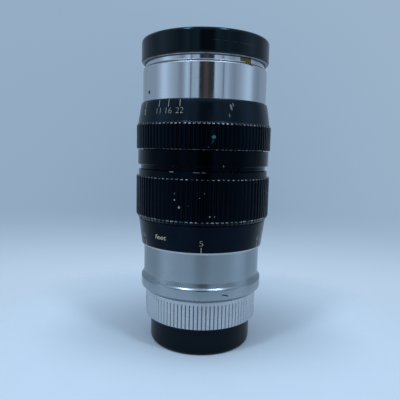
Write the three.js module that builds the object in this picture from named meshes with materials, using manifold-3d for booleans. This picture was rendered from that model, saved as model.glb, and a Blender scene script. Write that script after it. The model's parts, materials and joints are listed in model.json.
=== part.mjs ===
// A short telephoto lens for a screw-mount rangefinder camera, standing on its screwed-on rear cap,
// with its slip-on front cap fitted. Millimetres, +Z towards the subject, origin at the middle of the
// rear cap's underside. Azimuths are degrees about +Z from -Y, positive towards +X.
import * as THREE from "three";
import { mergeVertices } from "three/addons/utils/BufferGeometryUtils.js";
import Module from "manifold-3d";

// Fits
const seatGap = 0.2; // between pieces that rest on each other
const slideGap = 0.25; // radial, between barrels that slide or turn on each other
const boreGap = 0.2; // radial, between a piece and the bore that holds it
const facets = 32; // sides of the large turned pieces
const opticFacets = 24; // sides of the glass and its rings, which never turn in their seats

// Camera mount and fixed barrel
const threadR = 19.5; // screw thread of the camera mount, over its crests: the other radii follow from it
const threadWall = 1.2;
const threadLength = 5.4;
const rearCapWall = 1.75;
const rearCapHeight = 11.4;
const rearCapFloor = 1.8;
const barrelWall = 2.6;
const mountInset = 0.85; // mount ring's knurl inside the fixed barrel's radius
const mountHeight = 11.9;
const mountBevel = 0.8;
const rimProud = 1.1; // each "proud" is how far a surface stands out beyond the fixed barrel
const rimHeight = 5.1;
const rimRound = 0.6;
const rimFillet = 1.5;
const barrelShown = 11.7; // bare barrel between the rim's fillet and the distance ring
const barrelOverlap = 7.1; // barrel still inside the focus ring at the closest distance

// Focus ring
const skirtWall = 0.8; // distance ring at its lower edge
const skirtProud = 2.3; // distance ring at its upper edge
const skirtHeight = 11.1;
const skirtLap = 8.1; // overlap of the grip's sleeve and the distance ring
const sleeveWall = 0.45;
const gripProud = 3.45;
const gripChamfer = 1.4;
const gripHeight = 17.3;
const gripCollarProud = 2.4;
const gripCollarHeight = 2.6;
const focusTravel = 14.71; // of the head, from infinity to the closest distance

// Helicoid, between the fixed barrel and the head
const helicoidWall = 2.2;
const helicoidCollar = 3.5;
const helicoidRise = 1.2; // collar above the fixed barrel's end, at infinity
const headWall = 2.2;
const nutHeight = 2.3;

// Head
const grooveProud = 1.6;
const grooveHeight = 1.6;
const bandProud = 2.8;
const bandHeight = 6.15;
const apertureProud = 3.4;
const apertureGripHeight = 9.65;
const apertureConeProud = 2.8;
const apertureConeHeight = 8.8;
const apertureTopProud = 1.4;
const apertureWall = 0.55; // aperture ring at its upper edge
const housingWall = 0.65;
const frontProud = 0.9;
const frontHeight = 13.1;
const frontBevel = 0.7;
const capSeatInset = 1.0; // cap's seat inside the front barrel's radius
const capSeatHeight = 6.4;
const frontWall = 1.4; // front barrel at the cap's seat
const frontCapWall = 1.45;
const frontCapHeight = 9.4;
const frontCapTop = 1.5;
const frontCapRound = 1.1;
const frontCapTaper = 0.85;
const frontCapLift = 1.7; // bare seat between the front barrel's bevel and the cap's edge

// Iris
const bladeCount = 10;
const bladeThickness = 0.15;
const bladePitch = 0.3; // from one blade's level to the next
const bladeSpan = 142;
const bladeSteps = 12;
const pivotInset = 3.85; // blade pivots inside the bore that holds the iris ring
const openInset = 6.8; // edge of the open iris inside the pivots
const bladeInset = 1.65; // blades' outer edge inside the pivots
const closedR = 2.23;
const pivotPinR = 0.5;
const pivotHoleR = 0.62;
const pivotBossR = 1.2;
const leverLength = 6.5;
const leverWidth = 1.1;
const studR = 0.3;
const studGap = 0.15;
const openTurn = 47.5; // aperture ring from its rest at f/8 to fully open
const closeTurn = 39.5; // and from there to its smallest stop
const irisRingHeight = 2.2;
const driveAzimuth = 7.4;
const driveHeadR = 0.9;
const driveHeadDepth = 0.5; // the screw head lies this far under the tips of the teeth
const driveTipR = 0.55;

// Glass
const frontGlassEdge = 3.0;
const frontGlassCurve = 45;
const middleGlassInset = 2.9; // cemented pair inside the front glass's radius
const middleGlassEdge = 3.0;
const middleGlassCurve = 50;
const flintEdge = 3.2;
const flintCurve = 60;
const rearGlassEdge = 3.0;
const rearGlassCurve = 34;
const rearGlassBack = 60;
const glassLip = 1.4; // ledge that each glass rests on
const ringWall = 1.3;
const ringHeight = 2.2;
const cementGap = 0.05;
const cellWall = 2.2;
const airSpace = 3.5; // between the front glass and the cemented pair
const rearCellWall = 4.0;
const rearCellDepth = 13.5;
const gateMargin = 2.0; // from the corners of the baffle's opening to its rim
const gateSlope = 0.75; // height of that opening for its width

// Camera end
const sleeveGap = 0.7; // tube that works the camera's distance measurer, inside the thread's bore
const sleeveThickness = 1.2;
const sleeveReach = 7.5; // from the mount's flange to the tube's end, at infinity
const sleeveLength = 21.4;
const keyWidth = 4.0;
const keyDepth = 1.2;
const keyGap = 0.3; // key inside the head's surface, and outside the tube
const keyEngagement = 16.3; // key still inside the head at the closest distance
const screwR = 0.75;

const wasm = await Module();
wasm.setup();

const finishes = {
  chrome: new THREE.MeshStandardMaterial({ color: 0xc9cdd2, roughness: 0.18, metalness: 1 }),
  satinChrome: new THREE.MeshStandardMaterial({ color: 0xa9adb2, roughness: 0.42, metalness: 1 }),
  blackAnodised: new THREE.MeshStandardMaterial({ color: 0x0c0d10, roughness: 0.38, metalness: 0.4 }),
  capBlack: new THREE.MeshStandardMaterial({ color: 0x0b0c10, roughness: 0.3, metalness: 0.2 }),
  mattBlack: new THREE.MeshStandardMaterial({ color: 0x101012, roughness: 0.85, metalness: 0.1 }),
  brass: new THREE.MeshStandardMaterial({ color: 0xb08d4a, roughness: 0.35, metalness: 1 }),
  aluminium: new THREE.MeshStandardMaterial({ color: 0xb4b6b8, roughness: 0.4, metalness: 1 }),
  steel: new THREE.MeshStandardMaterial({ color: 0x3a3c40, roughness: 0.4, metalness: 1 }),
  bladeSteel: new THREE.MeshStandardMaterial({ color: 0x22242a, roughness: 0.5, metalness: 0.8 }),
  glass: new THREE.MeshStandardMaterial({ color: 0xdfe6ee, roughness: 0.03, metalness: 0 }),
};

const lens = new THREE.Group();

const radians = THREE.MathUtils.degToRad;
const degrees = THREE.MathUtils.radToDeg;

/** The point at a radius and an azimuth, at height z. */
function around(radius, azimuth, z = 0) {
  return new THREE.Vector3(radius * Math.sin(radians(azimuth)), -radius * Math.cos(radians(azimuth)), z);
}

/** A geometry as a solid that can be joined and cut. */
function solidOf(geometry) {
  const bare = geometry.clone();
  bare.deleteAttribute("normal");
  bare.deleteAttribute("uv");
  const merged = mergeVertices(bare, 1e-4);
  const triVerts = new Uint32Array(merged.index.array);
  const vertProperties = merged.attributes.position.array;
  return new wasm.Manifold(new wasm.Mesh({ numProp: 3, vertProperties, triVerts }));
}

/** A solid as a geometry. */
function geometryOf(solid) {
  const mesh = solid.getMesh();
  const geometry = new THREE.BufferGeometry();
  geometry.setAttribute("position", new THREE.BufferAttribute(mesh.vertProperties, 3));
  geometry.setIndex(new THREE.BufferAttribute(mesh.triVerts, 1));
  geometry.computeVertexNormals();
  return geometry;
}

/** Cuts the tools out of a geometry. */
function cut(geometry, ...tools) {
  let solid = solidOf(geometry);
  for (const tool of tools) solid = solid.subtract(solidOf(tool));
  return geometryOf(solid);
}

/** Joins geometries into one body. */
function join(first, ...others) {
  let solid = solidOf(first);
  for (const other of others) solid = solid.add(solidOf(other));
  return geometryOf(solid);
}

/** A body turned about +Z from its half outline, a closed loop of [radius, height] pairs. */
function turned(outline, sides = facets) {
  const loop = [...outline];
  let area = 0;
  outline.forEach(([r, z], i) => {
    const [nextR, nextZ] = outline[(i + 1) % outline.length];
    area += r * nextZ - nextR * z;
  });
  if (area < 0) loop.reverse();
  loop.push(loop[0]);
  const points = loop.map(([r, z]) => new THREE.Vector2(r, z));
  return new THREE.LatheGeometry(points, sides).rotateX(Math.PI / 2);
}

/** A plain ring of rectangular section. */
function ring(innerR, outerR, bottom, top, sides = facets) {
  return turned([[innerR, bottom], [outerR, bottom], [outerR, top], [innerR, top]], sides);
}

/** A round rod lying along a radius at an azimuth, from innerR to outerR. */
function radialRod(radius, innerR, outerR, azimuth, z, sides = 12) {
  const rod = new THREE.CylinderGeometry(radius, radius, outerR - innerR, sides);
  rod.translate(0, -(innerR + outerR) / 2, 0);
  rod.rotateZ(radians(azimuth));
  return rod.translate(0, 0, z);
}

/** A round rod standing along +Z at a point. */
function uprightRod(radius, x, y, bottom, top, sides = 12) {
  const rod = new THREE.CylinderGeometry(radius, radius, top - bottom, sides).rotateX(Math.PI / 2);
  return rod.translate(x, y, (bottom + top) / 2);
}

/** A flat outline of Vector2 points made into a plate from bottom to top. */
function plate(points, bottom, top) {
  const shape = new THREE.Shape(points);
  const depth = top - bottom;
  return new THREE.ExtrudeGeometry(shape, { depth, bevelEnabled: false }).translate(0, 0, bottom);
}

/** Points on a circle about a centre, from one azimuth to another. */
function arcPoints(centre, radius, from, to, steps) {
  return Array.from({ length: steps + 1 }, (_, i) => {
    const point = around(radius, from + ((to - from) * i) / steps);
    return new THREE.Vector2(centre.x + point.x, centre.y + point.y);
  });
}

/** Height that a spherical surface of the given curve has gained from its middle to a radius. */
function sagitta(curve, radius) {
  return curve - Math.sqrt(curve * curve - radius * radius);
}

/** Adds a named piece to the lens. */
function add(name, geometry, finish) {
  const mesh = new THREE.Mesh(geometry, finishes[finish]);
  mesh.name = name;
  lens.add(mesh);
}

// Heights, from the rear cap's underside upwards
const mountZ = rearCapHeight + seatGap;
const rimZ = mountZ + mountHeight + seatGap;
const barrelZ = rimZ + rimHeight + rimFillet;
const skirtZ = barrelZ + barrelShown;
const barrelTopZ = skirtZ + focusTravel + barrelOverlap;
const gripZ = skirtZ + skirtHeight + seatGap;
const gripTopZ = gripZ + gripHeight + gripCollarHeight;
const grooveZ = gripTopZ + seatGap;
const bandTopZ = grooveZ + grooveHeight + bandHeight;
const apertureZ = bandTopZ + seatGap;
const coneZ = apertureZ + apertureGripHeight;
const apertureTopZ = coneZ + apertureConeHeight;
const frontZ = apertureTopZ + seatGap;
const frontTopZ = frontZ + frontHeight;
const seatZ = frontTopZ + frontBevel;
const frontCapZ = seatZ + frontCapLift;

// Radii, from the camera's distance measuring tube outwards to the fixed barrel
const threadBoreR = threadR - threadWall;
const sleeveR = threadBoreR - sleeveGap;
const keyR = sleeveR + keyGap + keyDepth;
const headR = keyR + keyGap;
const headBoreR = headR - headWall;
const helicoidBoreR = headR + boreGap;
const helicoidR = helicoidBoreR + helicoidWall;
const barrelBoreR = helicoidR + boreGap;
const barrelR = barrelBoreR + barrelWall;

// Radii of the outer surfaces
const rearCapR = threadR + slideGap + rearCapWall;
const mountR = barrelR - mountInset;
const rimR = barrelR + rimProud;
const skirtR = barrelR + skirtProud;
const gripR = barrelR + gripProud;
const gripCollarR = barrelR + gripCollarProud;
const grooveR = barrelR + grooveProud;
const bandR = barrelR + bandProud;
const apertureR = barrelR + apertureProud;
const apertureConeR = barrelR + apertureConeProud;
const apertureTopR = barrelR + apertureTopProud;
const frontR = barrelR + frontProud;
const capSeatR = frontR - capSeatInset;
const capBoreR = capSeatR + 0.15;
const frontCapR = capBoreR + frontCapWall;

/** The cap screwed over the mount thread: the lens stands on it. */
function makeRearCap() {
  const boreR = threadR + slideGap;
  const edge = 0.8;
  add("rear_cap", turned([
    [0, 0],
    [rearCapR - edge, 0],
    [rearCapR, edge],
    [rearCapR, rearCapHeight],
    [boreR, rearCapHeight],
    [boreR, rearCapFloor],
    [0, rearCapFloor],
  ]), "capBlack");
}

const spigotR = barrelBoreR - 1.2; // fixed barrel's plug in the mount ring
const spigotBoreR = headR;
const pocketZ = mountZ + 4.3; // floor of the mount ring's pocket
const grubZ = mountZ + 7.0;
const grubAzimuths = [-74.5, 105.5];

/** The knurled mount ring with its screw thread, and the two grub screws that hold the barrel in it. */
function makeMount() {
  const boreR = threadBoreR;
  const pocketR = spigotR + boreGap;
  const topZ = mountZ + mountHeight;
  const body = turned([
    [boreR, mountZ - threadLength],
    [threadR - 0.3, mountZ - threadLength],
    [threadR, mountZ - threadLength + 0.3],
    [threadR, mountZ],
    [mountR, mountZ],
    [mountR, topZ - mountBevel],
    [mountR - mountBevel, topZ],
    [pocketR, topZ],
    [pocketR, pocketZ],
    [boreR, pocketZ],
  ]);
  const holes = grubAzimuths.map((azimuth) => (
    radialRod(screwR + seatGap, pocketR - 1, mountR + 1, azimuth, grubZ)
  ));
  add("mount_ring", cut(body, ...holes), "chrome");
  grubAzimuths.forEach((azimuth, i) => {
    const screw = radialRod(screwR, pocketR + 0.1, mountR - 0.3, azimuth, grubZ);
    add(`mount_grub_screw_${i + 1}`, screw, "steel");
  });
}

const headZ = rimZ + 4.3;
const keyAzimuth = 150;
const keyZ = pocketZ + 1.1;
const keyTopZ = headZ + focusTravel + keyEngagement;
const keyScrewHeights = [keyZ + 1.7, keyZ + 5.0];

/** The fixed barrel with its rim; the helicoid turns in its bore. */
function makeFixedBarrel() {
  const floorZ = rimZ + 3.3;
  const body = turned([
    [spigotBoreR, pocketZ + 0.3],
    [spigotR, pocketZ + 0.3],
    [spigotR, rimZ],
    [rimR - rimRound, rimZ],
    [rimR, rimZ + rimRound],
    [rimR, rimZ + rimHeight - rimRound],
    [rimR - rimRound, rimZ + rimHeight],
    [barrelR, barrelZ],
    [barrelR, barrelTopZ],
    [barrelBoreR, barrelTopZ],
    [barrelBoreR, floorZ],
    [spigotBoreR, floorZ],
  ]);
  const holes = keyScrewHeights.map((z) => radialRod(screwR + seatGap, keyR - 1, spigotR + 1, keyAzimuth, z));
  add("fixed_barrel", cut(body, ...holes), "satinChrome");
}

/** The straight key that keeps the head from turning, and its two screws through the barrel's spigot. */
function makeFocusKey() {
  const bar = new THREE.BoxGeometry(keyWidth, keyDepth, keyTopZ - keyZ);
  bar.translate(0, -(keyR - keyDepth / 2), (keyZ + keyTopZ) / 2);
  bar.rotateZ(radians(keyAzimuth));
  const holes = keyScrewHeights.map((z) => (
    radialRod(screwR + seatGap, keyR - keyDepth / 2, keyR + 1, keyAzimuth, z)
  ));
  add("focus_key", cut(bar, ...holes), "brass");
  keyScrewHeights.forEach((z, i) => {
    const screw = radialRod(screwR, keyR - keyDepth / 2 + 0.1, spigotR - 0.1, keyAzimuth, z);
    add(`key_screw_${i + 1}`, screw, "steel");
  });
}

/** The brass tube that follows focus and works the camera's distance measurer. */
function makeCouplingSleeve() {
  const bottom = mountZ - sleeveReach;
  add("coupling_sleeve", ring(sleeveR - sleeveThickness, sleeveR, bottom, bottom + sleeveLength), "brass");
}

const flangeZ = grooveZ;
const flangeR = grooveR - 2.4;
const flangeTopZ = bandTopZ - 1.05;
const nutZ = headZ + 0.4;

/** The sliding head barrel: a tube with a keyway, and the flange that carries the front half. */
function makeHeadBarrel() {
  const body = turned([
    [headBoreR, headZ],
    [headR, headZ],
    [headR, flangeZ],
    [flangeR, flangeZ],
    [flangeR, flangeTopZ],
    [headBoreR, flangeTopZ],
  ]);
  const keyway = new THREE.BoxGeometry(keyWidth + 0.3, 3, keyTopZ + 1 - headZ + 1);
  keyway.translate(0, -(keyR - keyDepth - boreGap + 1.5), (headZ - 1 + keyTopZ + 1) / 2);
  keyway.rotateZ(radians(keyAzimuth));
  add("head_barrel", cut(body, keyway), "aluminium");
}

/** The nut that keeps the helicoid on the head barrel. */
function makeThrustNut() {
  add("thrust_nut", ring(headR + boreGap, helicoidR - boreGap, nutZ, nutZ + nutHeight), "brass");
}

const helicoidZ = nutZ + nutHeight + seatGap;
const helicoidTopZ = barrelTopZ + helicoidRise + helicoidCollar;
const flangeFloorZ = helicoidTopZ + seatGap;
const focusScrewAzimuths = [60, 180, 300];
const focusScrewAt = (helicoidBoreR + helicoidR + 2.6) / 2;

/** The helicoid: it turns with the focus ring, and its thread drives the head in and out. */
function makeHelicoid() {
  const collarR = barrelR - 0.1;
  const collarZ = helicoidTopZ - helicoidCollar;
  const body = turned([
    [helicoidBoreR, helicoidZ],
    [helicoidR, helicoidZ],
    [helicoidR, collarZ],
    [collarR, collarZ],
    [collarR, helicoidTopZ],
    [helicoidBoreR, helicoidTopZ],
  ]);
  const holes = focusScrewAzimuths.map((azimuth) => {
    const at = around(focusScrewAt, azimuth);
    return uprightRod(screwR + seatGap, at.x, at.y, collarZ + 0.8, helicoidTopZ + 1);
  });
  add("helicoid", cut(body, ...holes), "brass");
}

/** The knurled focus grip, with a sleeve for the distance ring and a flange screwed to the helicoid. */
function makeFocusGrip() {
  const boreR = barrelR + slideGap;
  const flangeBoreR = headR + 2 * boreGap;
  const body = turned([
    [boreR, gripZ - skirtLap],
    [boreR + sleeveWall, gripZ - skirtLap],
    [boreR + sleeveWall, gripZ],
    [gripR - 1.05, gripZ],
    [gripR, gripZ + gripChamfer],
    [gripR, gripZ + gripHeight],
    [gripCollarR, gripZ + gripHeight + 0.1],
    [gripCollarR, gripTopZ],
    [flangeBoreR, gripTopZ],
    [flangeBoreR, flangeFloorZ],
    [boreR, flangeFloorZ],
  ]);
  const holes = focusScrewAzimuths.map((azimuth) => {
    const at = around(focusScrewAt, azimuth);
    return uprightRod(screwR + seatGap, at.x, at.y, flangeFloorZ - 1, gripTopZ + 1);
  });
  add("focus_grip", cut(body, ...holes), "blackAnodised");
  focusScrewAzimuths.forEach((azimuth, i) => {
    const at = around(focusScrewAt, azimuth);
    const screw = uprightRod(screwR, at.x, at.y, helicoidTopZ - helicoidCollar + 1, gripTopZ - 0.3);
    add(`focus_screw_${i + 1}`, screw, "steel");
  });
}

/** The distance ring: a shallow cone that carries the distance scale. */
function makeDistanceRing() {
  const boreR = barrelR + slideGap;
  const sleeveOuterR = boreR + sleeveWall;
  const lowR = boreR + skirtWall;
  const stepZ = gripZ - skirtLap - seatGap;
  const topZ = gripZ - seatGap;
  add("distance_ring", turned([
    [boreR, skirtZ],
    [lowR - 0.15, skirtZ],
    [lowR, skirtZ + 0.8],
    [skirtR, topZ - 0.5],
    [skirtR, topZ],
    [sleeveOuterR + 0.15, topZ],
    [sleeveOuterR + 0.15, stepZ],
    [boreR, stepZ],
  ]), "blackAnodised");
}

const housingZ = flangeTopZ + seatGap;
const housingFloor = 1.2;
const bladesZ = housingZ + housingFloor + 0.3;
const bladesTopZ = bladesZ + bladePitch * (bladeCount - 1) + bladeThickness;
const irisRingZ = bladesTopZ + 0.35;
const irisRingTopZ = irisRingZ + irisRingHeight;
const driveZ = irisRingZ + irisRingHeight / 2;
const apertureBoreR = apertureTopR - apertureWall;
const housingR = apertureBoreR - 0.15;
const ringSeatR = housingR - housingWall;
const pivotR = ringSeatR - pivotInset;
const openR = pivotR - openInset;
const bladeOuterR = pivotR - bladeInset;
const housingTopZ = frontZ - 2.4;
const cellZ = irisRingTopZ + seatGap;

const collarScrewAzimuths = [30, 150, 270];

/** The smooth band and the dark groove under it: a collar held on the head barrel's flange. */
function makeHeadCollar() {
  const boreR = flangeR + boreGap;
  const recessR = housingR + boreGap;
  const screwZ = grooveZ + 0.8;
  const body = turned([
    [boreR, grooveZ],
    [grooveR, grooveZ],
    [grooveR, grooveZ + grooveHeight],
    [bandR - 0.4, grooveZ + grooveHeight],
    [bandR, grooveZ + grooveHeight + 0.4],
    [bandR, bandTopZ - 0.1],
    [bandR - 0.1, bandTopZ],
    [recessR, bandTopZ],
    [recessR, flangeTopZ],
    [boreR, flangeTopZ],
  ]);
  const holeR = screwR - 0.15;
  const holes = collarScrewAzimuths.map((azimuth) => radialRod(holeR, boreR - 1, grooveR + 1, azimuth, screwZ));
  add("head_collar", cut(body, ...holes), "blackAnodised");
  collarScrewAzimuths.forEach((azimuth, i) => {
    const screw = radialRod(holeR - 0.1, boreR + 0.1, grooveR - 0.2, azimuth, screwZ);
    add(`collar_screw_${i + 1}`, screw, "steel");
  });
}

// Iris motion. Each blade swings about a pin outside the opening: turned through a closing angle, its
// inner edge, a circle of radius openR, moves its centre by 2 pivotR sin(angle / 2).
const closingAngle = degrees(2 * Math.asin((openR - closedR) / (2 * pivotR)));
const ringTurn = openTurn + closeTurn;
const restClosing = (closingAngle * openTurn) / ringTurn;

/** A blade's stud after a closing angle, for a blade whose pivot stands at azimuth 0. */
function studPoint(closing) {
  const pivot = around(pivotR, 0);
  const arm = new THREE.Vector3(leverLength, 0, 0);
  arm.applyAxisAngle(new THREE.Vector3(0, 0, 1), radians(closingAngle / 2 - closing));
  return pivot.add(arm);
}

/** The stud's radius and azimuth in the aperture ring's own frame at its rest. */
function studTrack(share) {
  const point = studPoint(share * closingAngle);
  const azimuth = degrees(Math.atan2(point.x, -point.y));
  return { radius: Math.hypot(point.x, point.y), azimuth: azimuth - openTurn + share * ringTurn };
}

const bladeStep = 360 / bladeCount;
const firstBlade = driveAzimuth - studTrack(1).azimuth - 6;

/** The fixed housing of the iris: a cup with a pivot pin for each blade and a window for the drive screw. */
function makeIrisHousing() {
  const body = turned([
    [openR + 0.6, housingZ],
    [housingR, housingZ],
    [housingR, housingTopZ],
    [ringSeatR, housingTopZ],
    [ringSeatR, irisRingZ - 0.1],
    [ringSeatR - 0.4, irisRingZ - 0.1],
    [ringSeatR - 0.4, housingZ + housingFloor],
    [openR + 0.6, housingZ + housingFloor],
  ]);
  const pins = Array.from({ length: bladeCount }, (_, i) => {
    const at = around(pivotR, firstBlade + i * bladeStep);
    return uprightRod(pivotPinR, at.x, at.y, housingZ + housingFloor / 2, bladesTopZ + 0.15, 6);
  });
  const from = driveAzimuth - closeTurn - 4;
  const to = driveAzimuth + openTurn + 4;
  const centre = new THREE.Vector2(0, 0);
  const window = [
    ...arcPoints(centre, housingR + 1, from, to, 8),
    ...arcPoints(centre, ringSeatR - 1, to, from, 8),
  ];
  const half = driveTipR + 0.35;
  add("iris_housing", cut(join(body, ...pins), plate(window, driveZ - half, driveZ + half)), "mattBlack");
}

/** One blade at its level: a crescent, a boss on the pivot pin, and a lever with the stud that drives it. */
function bladeGeometry(index) {
  const bottom = bladesZ + index * bladePitch;
  const top = bottom + bladeThickness;
  const centre = new THREE.Vector2(0, 0);
  const crescent = plate([
    ...arcPoints(centre, openR, -bladeSpan, 0, bladeSteps),
    ...arcPoints(centre, bladeOuterR, 0, 5 - bladeSpan, bladeSteps),
  ], bottom, top);
  const stud = studPoint(0);
  const neck = new THREE.BoxGeometry(2 * pivotBossR * 0.9, pivotR - openR - 1, bladeThickness);
  neck.translate(-pivotBossR * 0.4, -(pivotR + openR + 1) / 2, (bottom + top) / 2);
  const boss = uprightRod(pivotBossR, 0, -pivotR, bottom, top, 10);
  const lever = new THREE.BoxGeometry(leverLength, leverWidth, bladeThickness);
  lever.translate(leverLength / 2, 0, (bottom + top) / 2);
  lever.rotateZ(Math.atan2(stud.y + pivotR, stud.x));
  lever.translate(0, -pivotR, 0);
  const studBoss = uprightRod(2 * studR, stud.x, stud.y, bottom, top, 8);
  const studRod = uprightRod(studR, stud.x, stud.y, bottom, irisRingTopZ - 0.2, 6);
  const hole = uprightRod(pivotHoleR, 0, -pivotR, bottom - 1, top + 1, 8);
  const open = cut(join(crescent, neck, boss, lever, studBoss), hole);
  return join(open, studRod);
}

/** The blades, swung from fully open to the rest stop, each turned to its own pivot. */
function makeBlades() {
  for (let i = 0; i < bladeCount; i += 1) {
    const blade = bladeGeometry(i);
    blade.translate(0, pivotR, 0);
    blade.rotateZ(-radians(restClosing));
    blade.translate(0, -pivotR, 0);
    blade.rotateZ(radians(firstBlade + i * bladeStep));
    add(`iris_blade_${String(i + 1).padStart(2, "0")}`, blade, "bladeSteel");
  }
}

const driveSeatR = ringSeatR - 1.4; // where the drive screw's tip ends

/** The ring over the blades: a spiral slot for each stud, and the hole for the drive screw. */
function makeIrisRing() {
  const half = studR + studGap;
  const steps = 8;
  const slots = Array.from({ length: bladeCount }, (_, i) => {
    const turn = firstBlade + i * bladeStep;
    const track = Array.from({ length: steps + 1 }, (_unused, k) => studTrack(k / steps));
    const edge = (offset) => track.map(({ radius, azimuth }) => {
      const point = around(radius + offset, azimuth + turn);
      return new THREE.Vector2(point.x, point.y);
    });
    const tip = ({ radius, azimuth }, side) => {
      const past = (side * degrees(half * 1.1)) / radius;
      const point = around(radius, azimuth + turn + past);
      return new THREE.Vector2(point.x, point.y);
    };
    const outline = [tip(track[0], -1), ...edge(half), tip(track[steps], 1), ...edge(-half).reverse()];
    return plate(outline.reverse(), irisRingZ - 1, irisRingTopZ + 1);
  });
  const hole = radialRod(driveTipR + 0.15, driveSeatR - 0.1, ringSeatR + 1, driveAzimuth, driveZ);
  const body = ring(openR + 1.4, ringSeatR - 0.15, irisRingZ, irisRingTopZ);
  add("iris_ring", cut(body, ...slots, hole), "brass");
}

/** The aperture ring with its knurl and scale cone, and the screw that carries the iris ring round. */
function makeApertureRing() {
  const boreR = apertureBoreR;
  const body = turned([
    [boreR, apertureZ],
    [apertureR - 0.4, apertureZ],
    [apertureR, apertureZ + 0.3],
    [apertureR, coneZ - 0.2],
    [apertureConeR, coneZ + 0.6],
    [apertureTopR + 0.3, apertureTopZ - 1.2],
    [apertureTopR, apertureTopZ],
    [boreR, apertureTopZ],
  ]);
  const hole = radialRod(driveHeadR + 0.1, boreR - 1, apertureR + 1, driveAzimuth, driveZ);
  add("aperture_ring", cut(body, hole), "blackAnodised");
  const head = radialRod(driveHeadR, housingR + 0.25, apertureR - driveHeadDepth, driveAzimuth, driveZ);
  const tip = radialRod(driveTipR, driveSeatR, housingR + 0.5, driveAzimuth, driveZ);
  add("iris_drive_screw", join(head, tip), "steel");
}

const frontBoreR = capSeatR - frontWall;
const frontGlassR = frontBoreR - boreGap - cellWall - boreGap;
const middleGlassR = frontGlassR - middleGlassInset;
const glassBoreR = frontGlassR + boreGap;
const middleBoreR = middleGlassR + boreGap;
const cellTopZ = frontTopZ - 0.1;
const flintZ = cellZ + 2.0 + seatGap;
const flintTopZ = flintZ + flintEdge;
const middleEdgeZ = flintTopZ + cementGap + middleGlassEdge;
const middleVertexZ = middleEdgeZ + sagitta(middleGlassCurve, middleGlassR);
const frontGlassZ = middleVertexZ + airSpace;
const frontEdgeZ = frontGlassZ + frontGlassEdge;
const shoulderZ = frontGlassZ - seatGap;

/** The front cell: it screws into the iris housing and holds the front glass and the cemented pair. */
function makeFrontCell() {
  const lowerR = ringSeatR - 0.15;
  add("front_cell", turned([
    [middleGlassR - glassLip, cellZ],
    [lowerR, cellZ],
    [lowerR, housingTopZ - 0.2],
    [glassBoreR + cellWall, housingTopZ - 0.2],
    [glassBoreR + cellWall, cellTopZ],
    [glassBoreR, cellTopZ],
    [glassBoreR, shoulderZ],
    [middleBoreR, shoulderZ],
    [middleBoreR, flintZ - seatGap],
    [middleGlassR - glassLip, flintZ - seatGap],
  ]), "mattBlack");
}

/** Half outline of a spherical surface from the axis out to a radius. */
function dome(curve, radius, edgeZ, side, steps = 4) {
  return Array.from({ length: steps + 1 }, (_, i) => {
    const r = (radius * i) / steps;
    return [r, edgeZ + side * (sagitta(curve, radius) - sagitta(curve, r))];
  });
}

/** The glass and the rings that hold it. */
function makeGlass() {
  add("front_element", turned([
    [0, frontGlassZ],
    [frontGlassR, frontGlassZ],
    ...dome(frontGlassCurve, frontGlassR, frontEdgeZ, 1).reverse(),
  ], opticFacets), "glass");
  const frontRingZ = frontEdgeZ + 0.9;
  const frontRingR = frontGlassR + 0.05;
  const frontRing = ring(frontRingR - ringWall, frontRingR, frontRingZ, frontRingZ + ringHeight, opticFacets);
  add("front_retaining_ring", frontRing, "mattBlack");
  add("second_element", turned([
    [0, flintTopZ + cementGap],
    [middleGlassR, flintTopZ + cementGap],
    ...dome(middleGlassCurve, middleGlassR, middleEdgeZ, 1).reverse(),
  ], opticFacets), "glass");
  const middleRingZ = middleEdgeZ + 0.8;
  const middleRingR = middleGlassR + 0.05;
  const middleRing = ring(middleRingR - ringWall, middleRingR, middleRingZ, middleRingZ + ringHeight, opticFacets);
  add("middle_retaining_ring", middleRing, "mattBlack");
  const hollowR = middleGlassR - 2.1;
  add("third_element", turned([
    ...dome(flintCurve, hollowR, flintZ, 1),
    [middleGlassR, flintZ],
    [middleGlassR, flintTopZ],
    [0, flintTopZ],
  ], opticFacets), "glass");
}

const rearCellZ = headZ + 22.5;
const rearCellR = headBoreR - boreGap;
const rearGlassR = rearCellR - rearCellWall - boreGap;
const rearGlassZ = rearCellZ + 2.0 + sagitta(rearGlassBack, rearGlassR) + 0.3;

/** The rear cell in the head barrel's bore, its glass and ring, and the light baffle behind it. */
function makeRearCell() {
  const boreR = rearGlassR + boreGap;
  const lipR = rearGlassR - 1.0;
  add("rear_cell", turned([
    [lipR, rearCellZ],
    [rearCellR, rearCellZ],
    [rearCellR, rearCellZ + rearCellDepth],
    [boreR, rearCellZ + rearCellDepth],
    [boreR, rearCellZ + 1.8],
    [lipR, rearCellZ + 1.8],
  ], opticFacets), "mattBlack");
  const edgeZ = rearGlassZ + rearGlassEdge;
  add("rear_element", turned([
    ...dome(rearGlassBack, rearGlassR, rearGlassZ, -1),
    ...dome(rearGlassCurve, rearGlassR, edgeZ, 1).reverse(),
  ], opticFacets), "glass");
  const ringR = rearGlassR + 0.05;
  const ringZ = edgeZ + 0.8;
  const retainingRing = ring(ringR - ringWall, ringR, ringZ, ringZ + ringHeight, opticFacets);
  add("rear_retaining_ring", retainingRing, "mattBlack");
  const gateWidth = (2 * (rearCellR - gateMargin)) / Math.hypot(1, gateSlope);
  const gate = new THREE.BoxGeometry(gateWidth, gateWidth * gateSlope, 10).translate(0, 0, headZ);
  const low = headZ + 0.6;
  const high = headZ + 2.4;
  const disc = turned([[0, low], [rearCellR, low], [rearCellR, high], [0, high]], opticFacets);
  add("rear_baffle", cut(disc, gate), "mattBlack");
}

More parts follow.
